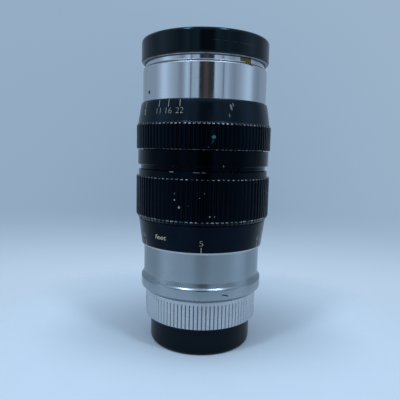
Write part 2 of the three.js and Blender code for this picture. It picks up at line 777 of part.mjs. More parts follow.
/** The bright front barrel with the cap's seat, and the trim ring inside its mouth. */
function makeFrontBarrel() {
  const boreR = frontBoreR;
  const seatTopZ = seatZ + capSeatHeight;
  add("front_barrel", turned([
    [boreR, housingTopZ + 0.2],
    [housingR - 0.05, housingTopZ + 0.2],
    [housingR - 0.05, frontZ],
    [frontR, frontZ],
    [frontR, frontTopZ],
    [capSeatR, seatZ],
    [capSeatR, seatTopZ - 0.3],
    [capSeatR - 0.3, seatTopZ],
    [boreR, seatTopZ],
  ]), "chrome");
  const trimZ = cellTopZ + seatGap;
  const trimR = boreR - 0.15;
  add("front_trim_ring", turned([
    [frontGlassR - ringWall + 0.5, trimZ],
    [trimR, trimZ],
    [trimR, trimZ + 3.0],
    [trimR - 0.8, trimZ + 3.0],
    [frontGlassR - ringWall + 0.5, trimZ + 1.0],
  ], opticFacets), "mattBlack");
}

/** The slip-on front cap. */
function makeFrontCap() {
  const boreR = capBoreR;
  const topZ = frontCapZ + frontCapHeight;
  add("front_cap", turned([
    [boreR, frontCapZ],
    [frontCapR - frontCapTaper, frontCapZ],
    [frontCapR, frontCapZ + 1.0],
    [frontCapR, topZ - frontCapRound],
    [frontCapR - frontCapRound * 0.3, topZ - frontCapRound * 0.3],
    [frontCapR - frontCapRound, topZ],
    [0, topZ],
    [0, topZ - frontCapTop],
    [boreR, topZ - frontCapTop],
  ]), "capBlack");
}

makeRearCap();
makeMount();
makeFixedBarrel();
makeFocusKey();
makeCouplingSleeve();
makeHeadBarrel();
makeThrustNut();
makeHelicoid();
makeFocusGrip();
makeDistanceRing();
makeHeadCollar();
makeIrisHousing();
makeBlades();
makeIrisRing();
makeApertureRing();
makeFrontCell();
makeGlass();
makeRearCell();
makeFrontBarrel();
makeFrontCap();

export default lens;
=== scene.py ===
"""A short telephoto lens for a screw-mount camera, standing on its rear cap with its front cap fitted.

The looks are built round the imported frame: every turned piece takes its outline from its node, in the
same place, and gains its rounded edges, flutes, threads, engraving and finish here. Metres, +Z towards
the subject. Azimuths are degrees about +Z from -Y, positive towards +X."""

import json
import math
import random

import bpy
from bpy.props import FloatProperty, FloatVectorProperty, IntProperty, PointerProperty
from mathutils import Euler, Matrix, Vector


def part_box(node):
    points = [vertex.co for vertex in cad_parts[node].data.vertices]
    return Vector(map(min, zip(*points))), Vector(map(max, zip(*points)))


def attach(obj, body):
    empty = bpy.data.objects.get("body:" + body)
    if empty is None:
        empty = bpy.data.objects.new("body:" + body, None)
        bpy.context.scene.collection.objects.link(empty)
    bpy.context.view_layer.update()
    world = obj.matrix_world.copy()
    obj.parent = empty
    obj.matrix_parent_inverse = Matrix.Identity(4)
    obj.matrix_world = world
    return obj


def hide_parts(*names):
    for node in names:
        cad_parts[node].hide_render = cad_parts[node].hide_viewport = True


bl_info = {
    "name": "Telephoto Lens",
    "version": (1, 0, 0),
    "blender": (4, 5, 0),
    "location": "View3D > Sidebar > Lens",
    "description": "Builds a screw-mount telephoto lens, piece by piece, round its packed frame",
    "category": "Object",
}

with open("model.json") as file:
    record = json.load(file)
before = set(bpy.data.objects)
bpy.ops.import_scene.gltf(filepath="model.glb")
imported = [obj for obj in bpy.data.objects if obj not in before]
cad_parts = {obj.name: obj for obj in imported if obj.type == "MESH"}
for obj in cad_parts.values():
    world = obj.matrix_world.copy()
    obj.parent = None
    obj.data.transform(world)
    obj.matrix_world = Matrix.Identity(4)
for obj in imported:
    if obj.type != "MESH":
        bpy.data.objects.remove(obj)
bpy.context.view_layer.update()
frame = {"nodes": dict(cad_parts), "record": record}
SLOTS = {name: node.data.materials[0].name for name, node in frame["nodes"].items()}

MM = 0.001
COLUMNS = 192  # points round a smooth turned piece
CURVE_STEPS = 4  # points along a rounded edge
SHARP = math.radians(38)
SAME = 0.01 * MM  # heights and radii this close are taken as the same
ROWS_A_TURN = 10  # rows of points in one turn of a thread


# Shapes -----------------------------------------------------------------------------------------------

def low(node):
    """Height of a node's lowest point."""
    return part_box(node)[0].z


def high(node):
    """Height of a node's highest point."""
    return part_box(node)[1].z


def radius(node):
    """Radius of a turned node, over everything."""
    return -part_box(node)[0].y


def bearing(node):
    """The azimuth and height of a node's middle."""
    lowest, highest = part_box(node)
    centre = (lowest + highest) / 2
    return math.degrees(math.atan2(centre.x, -centre.y)), centre.z


def around(distance, azimuth, height=0.0):
    """The point at a distance from the axis and an azimuth in degrees."""
    turn = math.radians(azimuth)
    return Vector((distance * math.sin(turn), -distance * math.cos(turn), height))


def outline_of(node):
    """A turned node's half outline, as (radius, height) corners in order.

    A body that reaches the axis starts and ends there; a ring closes on itself."""
    mesh = frame["nodes"][node].data
    near = 2e-6
    neighbours = {}

    def corner(index):
        place = mesh.vertices[index].co
        if abs(place.x) > near or place.y > near:
            return None
        return (abs(round(-place.y, 6)), round(place.z, 6))

    for edge in mesh.edges:
        ends = [corner(index) for index in edge.vertices]
        if None in ends or ends[0] == ends[1] or ends[0][0] == ends[1][0] == 0:
            continue
        for here, there in (ends, ends[::-1]):
            neighbours.setdefault(here, set()).add(there)
    start = min(neighbours, key=lambda p: (len(neighbours[p]), p[1], p[0]))
    walk = [start]
    while True:
        onward = [p for p in sorted(neighbours[walk[-1]]) if p not in walk]
        if not onward:
            return walk
        walk.append(onward[0])


def softened(outline, edge, rounds=()):
    """An outline with its corners turned into short curves of the given size.

    rounds names corners that differ, each as (radius, height, size)."""
    points = []
    open_ended = outline[0][0] == 0
    for index, here in enumerate(outline):
        at_end = open_ended and index in (0, len(outline) - 1)
        size = 0 if at_end else edge
        for r, z, other in rounds:
            if math.hypot(here[0] - r, here[1] - z) < 0.05 * MM:
                size = other
        if size == 0:
            points.append(here)
            continue
        corner = Vector(here)
        back = Vector(outline[index - 1]) - corner
        forward = Vector(outline[(index + 1) % len(outline)]) - corner
        first = corner + back.normalized() * min(size, 0.45 * back.length)
        last = corner + forward.normalized() * min(size, 0.45 * forward.length)
        for step in range(CURVE_STEPS + 1):
            t = step / CURVE_STEPS
            points.append(tuple(first * (1 - t) ** 2 + corner * 2 * t * (1 - t) + last * t * t))
    return points


def with_rows(points, heights):
    """Adds points where an outline crosses the given heights, for detail that starts there."""
    out = []
    for index, (r, z) in enumerate(points):
        out.append((r, z))
        next_r, next_z = points[(index + 1) % len(points)]
        crossed = sorted((h for h in heights if min(z, next_z) < h < max(z, next_z)), reverse=z > next_z)
        out.extend((r + (next_r - r) * (h - z) / (next_z - z), h) for h in crossed)
    return out


def piece_from(name, points, faces, material):
    """A named object from points and faces, shaded smooth but for its sharp edges."""
    mesh = bpy.data.meshes.new(name)
    mesh.from_pydata(points, [], faces)
    mesh.validate()
    mesh.shade_smooth()
    mesh.set_sharp_from_angle(angle=SHARP)
    mesh.materials.append(material)
    piece = bpy.data.objects.new(name, mesh)
    bpy.context.scene.collection.objects.link(piece)
    return piece


def turned(name, points, material, azimuths=None, shape=None):
    """A body turned from its outline. shape(r, z, column) gives the radius at each point."""
    turns = azimuths or [math.tau * i / COLUMNS for i in range(COLUMNS)]
    open_ended = points[0][0] < 1e-7
    vertices = []
    rows = []
    for r, z in points:
        if r < 1e-7:
            rows.append([len(vertices)] * len(turns))
            vertices.append((0.0, 0.0, z))
            continue
        rows.append(list(range(len(vertices), len(vertices) + len(turns))))
        for column, turn in enumerate(turns):
            here = shape(r, z, column) if shape else r
            vertices.append((here * math.sin(turn), -here * math.cos(turn), z))
    area = sum(a[0] * b[1] - b[0] * a[1] for a, b in zip(points, points[1:] + points[:1]))
    pairs = list(zip(rows, rows[1:])) + ([] if open_ended else [(rows[-1], rows[0])])
    faces = []
    for lower, upper in pairs:
        for i in range(len(turns)):
            j = (i + 1) % len(turns)
            face = [lower[i], lower[j], upper[j], upper[i]]
            face = [v for k, v in enumerate(face) if v not in face[:k]]
            faces.append(face if area > 0 else face[::-1])
    piece = piece_from(name, vertices, faces, material)
    piece.modifiers.new("flat stretches", "WEIGHTED_NORMAL").keep_sharp = True  # flats stay flat in shading
    return piece


# Half a tooth's section, from the crest to the bottom of the groove, as (share of the pitch, share of
# the depth).
FLUTE = ((0.0, 0.0), (0.17, 0.0), (0.215, 0.05), (0.27, 0.36), (0.33, 0.74), (0.41, 0.96), (0.5, 1.0))
V_GROOVE = ((0.0, 0.0), (0.27, 0.0), (0.315, 0.06), (0.37, 0.36), (0.41, 0.70), (0.45, 0.94), (0.5, 1.0))


def flutes(teeth, crest, depth, half=FLUTE):
    """Azimuths and radii round a straight knurl, from one tooth's half section."""
    section = half + tuple((1 - share, deep) for share, deep in half[-2:0:-1])
    azimuths = []
    limits = []
    for tooth in range(teeth):
        for share, deep in section:
            azimuths.append(math.tau * (tooth + share) / teeth)
            limits.append(crest - depth * deep)
    return azimuths, limits


def fluted(name, points, material, teeth, crest, depth):
    """A turned body with flutes cut into its crest."""
    azimuths, limits = flutes(teeth, crest, depth)

    def shape(r, z, column):
        return min(r, limits[column])
    return turned(name, points, material, azimuths, shape)


def solid_rod(name, size, length, material, edge, sides=32):
    """A round rod with rounded ends, standing on the origin along +Z."""
    outline = softened([(0, 0), (size, 0), (size, length), (0, length)], edge)
    turns = [math.tau * i / sides for i in range(sides)]
    return turned(name, outline, material, turns)


def cut_away(piece, cutter):
    """Cuts a closed cutter out of a piece, and removes the cutter."""
    difference = piece.modifiers.new("cut", "BOOLEAN")
    difference.object = cutter
    difference.operation = "DIFFERENCE"
    difference.solver = "EXACT"
    while piece.modifiers[0] != difference:
        bpy.context.view_layer.objects.active = piece
        piece.modifiers.move(len(piece.modifiers) - 1, 0)
    bpy.context.view_layer.objects.active = piece
    bpy.ops.object.modifier_apply(modifier="cut")
    bpy.data.objects.remove(cutter)


def place(piece, matrix):
    """Moves a piece's mesh, and leaves its origin in the lens's own frame."""
    piece.data.transform(matrix)
    return piece


def radial(azimuth, distance, height):
    """Stands a piece made along +Z on a radius at an azimuth, its foot at a distance from the axis."""
    foot = Matrix.Translation(around(distance, azimuth, height))
    return foot @ Matrix.Rotation(math.radians(azimuth), 4, "Z") @ Matrix.Rotation(math.radians(90), 4, "X")


def screw(name, size, length, material, slot_width):
    """A slotted screw standing along +Z on the origin."""
    body = solid_rod(name, size, length, material, 0.12 * MM)
    slot_depth = 0.45 * MM
    half = slot_width / 2
    reach = 2 * size
    corners = [
        (x, y, z)
        for z in (length - slot_depth, length + slot_depth)
        for x, y in ((-reach, -half), (reach, -half), (reach, half), (-reach, half))
    ]
    sides = [(0, 3, 2, 1), (4, 5, 6, 7), (0, 1, 5, 4), (1, 2, 6, 5), (2, 3, 7, 6), (3, 0, 4, 7)]
    cut_away(body, piece_from("slot cutter", corners, sides, material))
    return body


def give(piece, body, slot, *nodes):
    """Hands a finished piece to its body, and hides the nodes that it stands for. slot is not used."""
    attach(piece, body)
    if nodes:
        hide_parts(*nodes)
    return piece


def body_of(node):
    """The body that a node rides on."""
    return next(body for body, nodes in frame["record"]["behaviour"]["bodies"].items() if node in nodes)


def instead_of(node, piece):
    """Lets a finished piece stand for a node."""
    return give(piece, body_of(node), SLOTS[node], node)


def beside(node, piece):
    """Adds a piece to the node that it sits on."""
    return give(piece, body_of(node), SLOTS[node])


def plain_turned(node, material, edge, ending="_turned"):
    """Makes a turned node with rounded edges and nothing more."""
    return instead_of(node, turned(node + ending, softened(outline_of(node), edge), material))


def drilled(piece, size, length, matrix, material):
    """Cuts a round hole into a piece, from the foot of a matrix along its +Z."""
    cut_away(piece, place(solid_rod("hole", size, length, material, 0.0), matrix))


def radial_screw(piece, node, name, hole, depth, fixing, foot, material, slot_width):
    """Sinks a slotted screw into a piece, along the radius through its node.

    hole and fixing are (radius, length), and depth and foot their distances from the axis."""
    azimuth, height = bearing(node)
    drilled(piece, *hole, radial(azimuth, depth, height), piece.data.materials[0])
    body = screw(name, *fixing, material, slot_width)
    instead_of(node, place(body, radial(azimuth, foot, height)))


# Engraving --------------------------------------------------------------------------------------------

def lettering(text, size, wide=1.0, slant=0.0, thin=0.03):
    """The triangles of a line of lettering, centred on x = 0 and standing on y = 0, one unit high."""
    curve = bpy.data.curves.new("lettering", "FONT")
    curve.body = text
    curve.align_x = "CENTER"
    curve.size = 1.0
    curve.shear = slant
    curve.extrude = 0.02
    curve.offset = -thin
    curve.resolution_u = 5
    holder = bpy.data.objects.new("lettering", curve)
    bpy.context.scene.collection.objects.link(holder)
    bpy.context.view_layer.update()
    mesh = bpy.data.meshes.new_from_object(holder.evaluated_get(bpy.context.evaluated_depsgraph_get()))
    points = [v.co.copy() for v in mesh.vertices]
    faces = [tuple(f.vertices) for f in mesh.polygons]
    bpy.data.objects.remove(holder)
    bpy.data.curves.remove(curve)
    bpy.data.meshes.remove(mesh)
    bottom = min(p.y for p in points)
    tall = max(p.y for p in points) - bottom
    scale = size / tall
    return [(p.x * scale * wide, (p.y - bottom) * scale, p.z > 0) for p in points], faces


def bar(width, height, steps=4):
    """The faces of an upright bar, centred on x = 0 and standing on y = 0."""
    points = []
    faces = []
    for front in (False, True):
        for step in range(steps + 1):
            for x in (-width / 2, width / 2):
                points.append((x, height * step / steps, front))
    layer = 2 * (steps + 1)
    for step in range(steps):
        a = 2 * step
        faces.append((a, a + 2, a + 3, a + 1))
        faces.append((layer + a, layer + a + 1, layer + a + 3, layer + a + 2))
        faces.append((a, layer + a, layer + a + 2, a + 2))
        faces.append((a + 1, a + 3, layer + a + 3, layer + a + 1))
    faces.append((0, 1, layer + 1, layer))
    faces.append((layer - 2, 2 * layer - 2, 2 * layer - 1, layer - 1))
    return points, faces


def disc(size, sides=28):
    """The faces of a round spot, centred on the origin, with a shallow crown."""
    points = []
    for front in (False, True):
        for i in range(sides):
            turn = math.tau * i / sides
            points.append((size * math.cos(turn), size * math.sin(turn), front))
    faces = [tuple(range(sides))[::-1], tuple(range(sides, 2 * sides))]
    faces += [(i, (i + 1) % sides, sides + (i + 1) % sides, sides + i) for i in range(sides)]
    return points, faces


def inscribed(name, marks, surface, proud, material):
    """Flat marks wrapped on a surface of the given radius at each height, and joined into one piece.

    A mark is (points and faces, azimuth, height of its foot)."""
    vertices = []
    faces = []
    sunk = 0.06 * MM
    for (points, sides), azimuth, foot in marks:
        start = len(vertices)
        for x, y, front in points:
            height = foot + y
            distance = surface(height) + (proud if front else -sunk)
            vertices.append(around(distance, azimuth + math.degrees(x / distance), height))
        faces += [tuple(start + v for v in side) for side in sides]
    return piece_from(name, vertices, faces, material)


def outside_of(outline):
    """The outermost radius of an outline at each height."""
    edges = [(a, b) for a, b in zip(outline, outline[1:] + outline[:1]) if a[1] != b[1]]

    def outermost(z):
        crossed = [(a, b) for a, b in edges if min(a[1], b[1]) <= z <= max(a[1], b[1])]
        return max(a[0] + (b[0] - a[0]) * (z - a[1]) / (b[1] - a[1]) for a, b in crossed)
    return outermost


# Finishes ---------------------------------------------------------------------------------------------

def scaled(colour, share):
    """A colour made brighter or darker."""
    return tuple(c * share for c in colour)


class Nodes:
    """A node tree, with short ways to build in it."""

    def __init__(self, tree):
        self.tree = tree

    def put(self, socket, value):
        if isinstance(value, bpy.types.NodeSocket):
            self.tree.links.new(value, socket)
        elif isinstance(value, (tuple, list)) and len(value) == 3 and socket.type == "RGBA":
            socket.default_value = (*value, 1.0)
        else:
            socket.default_value = value

    def node(self, kind, *values, **settings):
        made = self.tree.nodes.new(kind)
        for key, value in settings.items():
            setattr(made, key, value)
        for socket, value in zip(made.inputs, values):
            if value is not None:
                self.put(socket, value)
        return made

    def math(self, operation, *values):
        return self.node("ShaderNodeMath", *values, operation=operation).outputs[0]

    def times(self, first, second):
        return self.math("MULTIPLY", first, second)

    def plus(self, first, second):
        return self.math("ADD", first, second)

    def minus(self, first, second):
        return self.math("SUBTRACT", first, second)

    def most(self, *values):
        result = values[0]
        for value in values[1:]:
            result = self.math("MAXIMUM", result, value)
        return result

    def between(self, value, start, end, first=0.0, last=1.0):
        """first up to start, last from end, and smooth between them."""
        settings = (value, start, end, first, last)
        return self.node("ShaderNodeMapRange", *settings, interpolation_type="SMOOTHSTEP").outputs[0]

    def mix(self, share, first, second):
        """A colour between two."""
        made = self.node("ShaderNodeMix", data_type="RGBA")
        sockets = (made.inputs["Factor"], made.inputs[6], made.inputs[7])
        for socket, value in zip(sockets, (share, first, second)):
            self.put(socket, value)
        return made.outputs[2]

    def blend(self, share, first, second):
        """A number between two."""
        made = self.node("ShaderNodeMix", data_type="FLOAT")
        for socket, value in zip((made.inputs[0], made.inputs[2], made.inputs[3]), (share, first, second)):
            self.put(socket, value)
        return made.outputs[0]


class Finish(Nodes):
    """A material, with its places on the lens to hang detail on."""

    def __init__(self, name, metallic=0.0, specular=0.5):
        self.material = bpy.data.materials.new(name)
        self.material.use_nodes = True
        super().__init__(self.material.node_tree)
        self.surface = self.tree.nodes["Principled BSDF"]
        self.surface.inputs["Metallic"].default_value = metallic
        self.surface.inputs["Specular IOR Level"].default_value = specular
        self.place = self.tree.nodes.new("ShaderNodeTexCoord").outputs["Object"]
        self.x, self.y, self.height = self.node("ShaderNodeSeparateXYZ", self.place).outputs
        self.azimuth = self.math("ARCTAN2", self.x, self.times(self.y, -1.0))
        self.distance = self.math("SQRT", self.plus(self.times(self.x, self.x), self.times(self.y, self.y)))

    def noise(self, size, detail=2.0, vector=None, rough=0.5):
        """Noise from 0 to 1 with features of about the given size in metres."""
        made = self.node("ShaderNodeTexNoise")
        self.put(made.inputs["Vector"], vector or self.place)
        self.put(made.inputs["Scale"], 1.0 / size)
        self.put(made.inputs["Detail"], detail)
        self.put(made.inputs["Roughness"], rough)
        return made.outputs[0]

    def turning(self, across, along=0.2):
        """A vector whose noise runs in fine lines round the axis, as a lathe leaves them."""
        made = self.node("ShaderNodeCombineXYZ")
        self.put(made.inputs[0], self.times(self.azimuth, along))
        self.put(made.inputs[1], self.times(self.height, 1.0 / across))
        self.put(made.inputs[2], self.times(self.distance, 1.0 / across))
        return made.outputs[0]

    def spot(self, azimuth, height, wide, tall, at, ragged=0.5, lean=0.0):
        """1 inside a ragged spot on a surface of radius at, and 0 outside it."""
        across = self.times(self.minus(self.azimuth, math.radians(azimuth)), 2 * at / wide)
        up = self.times(self.minus(self.height, height), 2 / tall)
        if lean:
            across = self.plus(across, self.times(up, lean))
        reach = self.plus(self.times(across, across), self.times(up, up))
        rough = self.times(self.minus(self.noise(0.35 * MM, 3.0), 0.5), 3 * ragged)
        return self.between(self.plus(reach, rough), 0.75, 1.15, 1.0, 0.0)

    def spots(self, places, start, at, ragged=0.5, lean=0.0):
        """Several spots, each as (azimuth, millimetres above start, wide and tall, strength)."""
        return self.most(*[
            self.times(self.spot(azimuth, start + up * MM, wide * MM, tall * MM, at, ragged, lean), strength)
            for azimuth, up, wide, tall, strength in places
        ])

    def band(self, bottom, top, soft=0.05 * MM):
        """1 between two heights."""
        rise = self.between(self.height, bottom - soft, bottom + soft)
        fall = self.between(self.height, top - soft, top + soft, 1.0, 0.0)
        return self.times(rise, fall)

    def bump(self, height, depth, strength=1.0):
        made = self.node("ShaderNodeBump")
        self.put(made.inputs["Strength"], strength)
        self.put(made.inputs["Distance"], depth)
        self.put(made.inputs["Height"], height)
        self.tree.links.new(made.outputs[0], self.surface.inputs["Normal"])

    def give(self, colour=None, roughness=None, metallic=None):
        for name, value in (("Base Color", colour), ("Roughness", roughness), ("Metallic", metallic)):
            if value is not None:
                self.put(self.surface.inputs[name], value)
        return self.material


BARE_METAL = (0.55, 0.55, 0.54)
PALE_SPECK = (0.11, 0.12, 0.13)
# painted sheen: a lighter black that stands for the brighter reflections of part of a ring
PAINTED_SHEEN_BLACK = (0.0150, 0.0235, 0.0320)
LACQUER_SHINE = (0.52, 0.84, 1.0, 1.0)  # lacquer's reflections are a little blue
BLEMISH = (0.012, 0.014, 0.018)
# painted shade: the colour that hollows are darkened to
HOLLOW_SHADE = (0.030, 0.033, 0.038)
PIT = (0.10, 0.105, 0.11)


def black_finish(name, colour, roughness, gloss=None, wear=None, dust=0.35, painted_sheen=None):
    """Smooth black with a few pale specks.

    gloss is the refractive index of a lacquer, or None for black anodising. wear(finish) gives where
    bare metal shows, and the last argument where a lighter black is painted on as sheen."""
    finish = Finish(name, metallic=0.0 if gloss else 1.0)
    if gloss:
        finish.surface.inputs["IOR"].default_value = gloss
        finish.surface.inputs["Specular Tint"].default_value = LACQUER_SHINE
    mottle = finish.noise(6 * MM, 4.0)
    fine = finish.noise(0.12 * MM, 2.0)
    lines = finish.noise(1.0, 3.0, finish.turning(0.25 * MM))
    specks = finish.between(finish.noise(0.6 * MM, 5.0, rough=0.65), 0.70, 0.74)
    base = finish.mix(mottle, colour, scaled(colour, 1.7))
    # painted sheen: the lighter black goes where the last argument says
    if painted_sheen:
        base = finish.mix(painted_sheen(finish), base, PAINTED_SHEEN_BLACK)
    base = finish.mix(finish.times(specks, dust), base, PALE_SPECK)
    smear = finish.between(finish.noise(9 * MM, 3.0), 0.35, 0.75, roughness * 0.85, roughness * 1.35)
    rough = finish.plus(smear, finish.times(lines, 0.04))
    metallic = None
    if wear:
        bare = wear(finish)
        base = finish.mix(bare, base, BARE_METAL)
        rough = finish.blend(bare, rough, 0.38)
        metallic = bare if gloss else None
    finish.bump(finish.plus(fine, lines), 0.006 * MM, 0.35)
    return finish.give(base, rough, metallic)


def tooth_ends(finish, bottom, top, crest, reach, share):
    """Where the finish has rubbed off the ends of a knurl's teeth, at their crests between two heights."""
    on_crest = finish.between(finish.distance, crest - 0.30 * MM, crest - 0.12 * MM)
    on_edge = finish.between(finish.distance, crest - 0.42 * MM, crest - 0.33 * MM)
    upper = finish.times(finish.band(top - reach, top + 0.3 * MM, 0.04 * MM), on_crest)
    lower = finish.times(finish.band(bottom - 0.12 * MM, bottom + reach, 0.04 * MM), on_edge)
    patchy = finish.between(finish.noise(2.2 * MM, 5.0, rough=0.85), 0.42, 0.62, 0.04, 1.0)
    return finish.times(finish.most(upper, lower), finish.times(patchy, share))


def chrome_finish(name, colour, roughness, streaks, marks=None, shadows=None, duller=None):
    """Chrome plate: turning lines, soft smears and a few pits.

    marks(finish) gives dark blemishes, shadows(finish) painted shade in the hollows, and duller(finish)
    where the chrome is matt."""
    finish = Finish(name, metallic=1.0)
    lines = finish.noise(1.0, 4.0, finish.turning(0.16 * MM, 0.6))
    broad = finish.noise(1.0, 2.0, finish.turning(2.5 * MM, 0.8))
    smear = finish.noise(7 * MM, 4.0, rough=0.6)
    tone = finish.plus(finish.times(lines, streaks), finish.times(smear, 0.12))
    base = finish.mix(tone, colour, scaled(colour, 0.78))
    rough = finish.between(finish.plus(smear, finish.times(broad, 0.3)), 0.45, 0.95,
                           roughness, roughness * 1.9)
    pits = finish.between(finish.noise(0.5 * MM, 4.0, rough=0.7), 0.735, 0.76)
    base = finish.mix(finish.times(pits, 0.6), base, PIT)
    # painted shade: darkens the hollows that shadows(finish) gives
    if shadows:
        base = finish.mix(shadows(finish), base, HOLLOW_SHADE)
    if duller:
        rough = finish.blend(duller(finish), rough, 0.46)
    if marks:
        dark = marks(finish)
        base = finish.mix(dark, base, BLEMISH)
        rough = finish.blend(dark, rough, 0.5)
    finish.bump(lines, 0.004 * MM, 0.3)
    return finish.give(base, rough)


def turned_metal(name, colour, roughness):
    """Bare turned metal with a thin film of grease."""
    finish = Finish(name, metallic=1.0)
    lines = finish.noise(1.0, 3.0, finish.turning(0.2 * MM))
    stain = finish.noise(3 * MM, 4.0, rough=0.6)
    base = finish.mix(finish.between(stain, 0.4, 0.8), colour, scaled(colour, 0.55))
    finish.bump(lines, 0.01 * MM, 0.4)
    return finish.give(base, finish.between(stain, 0.3, 0.8, roughness, roughness * 1.6))


def matt_finish(name, colour):
    """Matt black that kills reflections inside the barrel."""
    finish = Finish(name, specular=0.25)
    fine = finish.noise(0.15 * MM, 3.0)
    base = finish.mix(finish.noise(4 * MM, 3.0), colour, scaled(colour, 1.8))
    finish.bump(fine, 0.02 * MM, 0.5)
    return finish.give(base, finish.between(fine, 0.2, 0.8, 0.62, 0.85))


def blade_finish():
    """Blued spring steel with faint rubbing arcs."""
    finish = Finish("blued blades", metallic=1.0)
    rub = finish.noise(1.0, 3.0, finish.turning(0.4 * MM))
    base = finish.mix(rub, (0.030, 0.034, 0.050), (0.085, 0.090, 0.11))
    return finish.give(base, finish.between(rub, 0.3, 0.7, 0.34, 0.5))


def glass_finish():
    """Crown glass with a single blue-violet coating."""
    finish = Finish("coated glass", specular=0.6)
    inputs = finish.surface.inputs
    inputs["Transmission Weight"].default_value = 1.0
    inputs["IOR"].default_value = 1.62
    inputs["Thin Film Thickness"].default_value = 115.0
    inputs["Thin Film IOR"].default_value = 1.38
    dust = finish.between(finish.noise(0.4 * MM, 4.0, rough=0.7), 0.70, 0.76)
    tint = finish.mix(dust, (0.97, 0.98, 1.0), (0.86, 0.88, 0.90))
    return finish.give(tint, finish.blend(dust, 0.0, 0.25))


def paint_finish(name, colour, worn):
    """Paint in an engraving, worn thin in places."""
    finish = Finish(name)
    patch = finish.between(finish.noise(0.5 * MM, 3.0, rough=0.6), 0.42, 0.62)
    base = finish.mix(finish.times(patch, worn), colour, scaled(colour, 0.25))
    return finish.give(base, finish.between(finish.noise(0.2 * MM), 0.3, 0.7, 0.45, 0.7))


# Settings ---------------------------------------------------------------------------------------------

class LensSizes(bpy.types.PropertyGroup):
    """Sizes that can be changed without touching the frame."""
    edge: FloatProperty(name="Edge rounding", description="Rounding on plain turned edges",
                        default=0.12 * MM, unit="LENGTH")
    focus_teeth: IntProperty(name="Focus grip teeth", description="Teeth round the focus grip", default=90)
    aperture_teeth: IntProperty(name="Aperture ring teeth", description="Teeth round the aperture ring",
                                default=100)
    mount_teeth: IntProperty(name="Mount ring teeth", description="Teeth round the mount ring", default=92)
    flute_depth: FloatProperty(name="Flute depth", description="Depth of the flutes of the black knurls",
                               default=0.48 * MM, unit="LENGTH")
    thread_pitch: FloatProperty(name="Mount thread pitch", description="Pitch of the camera mount's thread",
                                default=0.977 * MM, unit="LENGTH")
    numeral: FloatProperty(name="Numeral height", description="Height of the aperture numerals",
                           default=2.05 * MM, unit="LENGTH")
    distance_numeral: FloatProperty(name="Distance numeral height",
                                    description="Height of the distance numerals",
                                    default=1.95 * MM, unit="LENGTH")


class LensColours(bpy.types.PropertyGroup):
    """Colours that can be changed without touching the frame."""
    black: FloatVectorProperty(name="Black", description="Black of the knurled rings", subtype="COLOR",
                               default=(0.0021, 0.0035, 0.0058))
    cap: FloatVectorProperty(name="Cap black", description="Black of the two caps", subtype="COLOR",
                             default=(0.0016, 0.0021, 0.0028))
    chrome: FloatVectorProperty(name="Chrome", description="Bright chrome of the front barrel and mount ring",
                                subtype="COLOR", default=(0.64, 0.65, 0.67))
    satin: FloatVectorProperty(name="Satin chrome", description="Satin chrome of the fixed barrel",
                               subtype="COLOR", default=(0.350, 0.385, 0.405))
    figures: FloatVectorProperty(name="Figures", description="Paint in the engraved figures", subtype="COLOR",
                                 default=(0.60, 0.52, 0.36))
    lacquer: FloatVectorProperty(name="Screw lacquer", description="Lacquer over the aperture drive screw",
                                 subtype="COLOR", default=(0.012, 0.16, 0.15))


# Caps -------------------------------------------------------------------------------------------------

def thread_rows(bottom, top, pitch):
    """The heights of the rows that carry a thread."""
    count = math.ceil((top - bottom) / pitch * ROWS_A_TURN)
    rows = [bottom + i * pitch / ROWS_A_TURN for i in range(1, count + 1)]
    return [z for z in rows if z < top]


def threaded(bottom, top, pitch, depth, outwards):
    """A shape for turned(): a single thread on the rows between two heights."""
    run_out = 0.6 * pitch

    def shape(r, z, column):
        if not bottom < z < top:
            return r
        turn = column / COLUMNS
        phase = ((z - bottom) / pitch - turn) % 1.0
        ridge = max(0.0, min(1.0, 1.6 * (1 - abs(2 * phase - 1)) - 0.3))
        fade = min(1.0, (z - bottom) / run_out, (top - z) / run_out)
        cut = depth * (1 - ridge) * fade
        return r - cut if outwards else r + cut
    return shape


class LENS_OT_rear_cap(bpy.types.Operator):
    """Builds the screw-on rear cap that the lens stands on"""
    bl_idname = "lens.rear_cap"
    bl_label = "Rear Cap"

    def execute(self, context):
        node = "rear_cap"
        sizes = context.scene.lens_sizes
        black = black_finish("cap lacquer", tuple(context.scene.lens_colours.cap), 0.22, 1.25, dust=0.2)
        outline = outline_of(node)
        top = high(node)
        rounds = [(r, z, 0.9 * MM) for r, z in outline if z < 1.0 * MM and r > 0]
        points = softened(outline, sizes.edge, rounds)
        bore = min(r for r, z in outline if abs(z - top) < SAME)
        bottom = top - 5.6 * MM
        points = with_rows(points, thread_rows(bottom, top - 0.3 * MM, sizes.thread_pitch))
        thread = threaded(bottom, top - 0.2 * MM, sizes.thread_pitch, 0.2 * MM, False)

        def shape(r, z, column):
            return thread(r, z, column) if r < bore + 0.05 * MM else r
        instead_of(node, turned("rear_cap_shell", points, black, shape=shape))
        return {"FINISHED"}


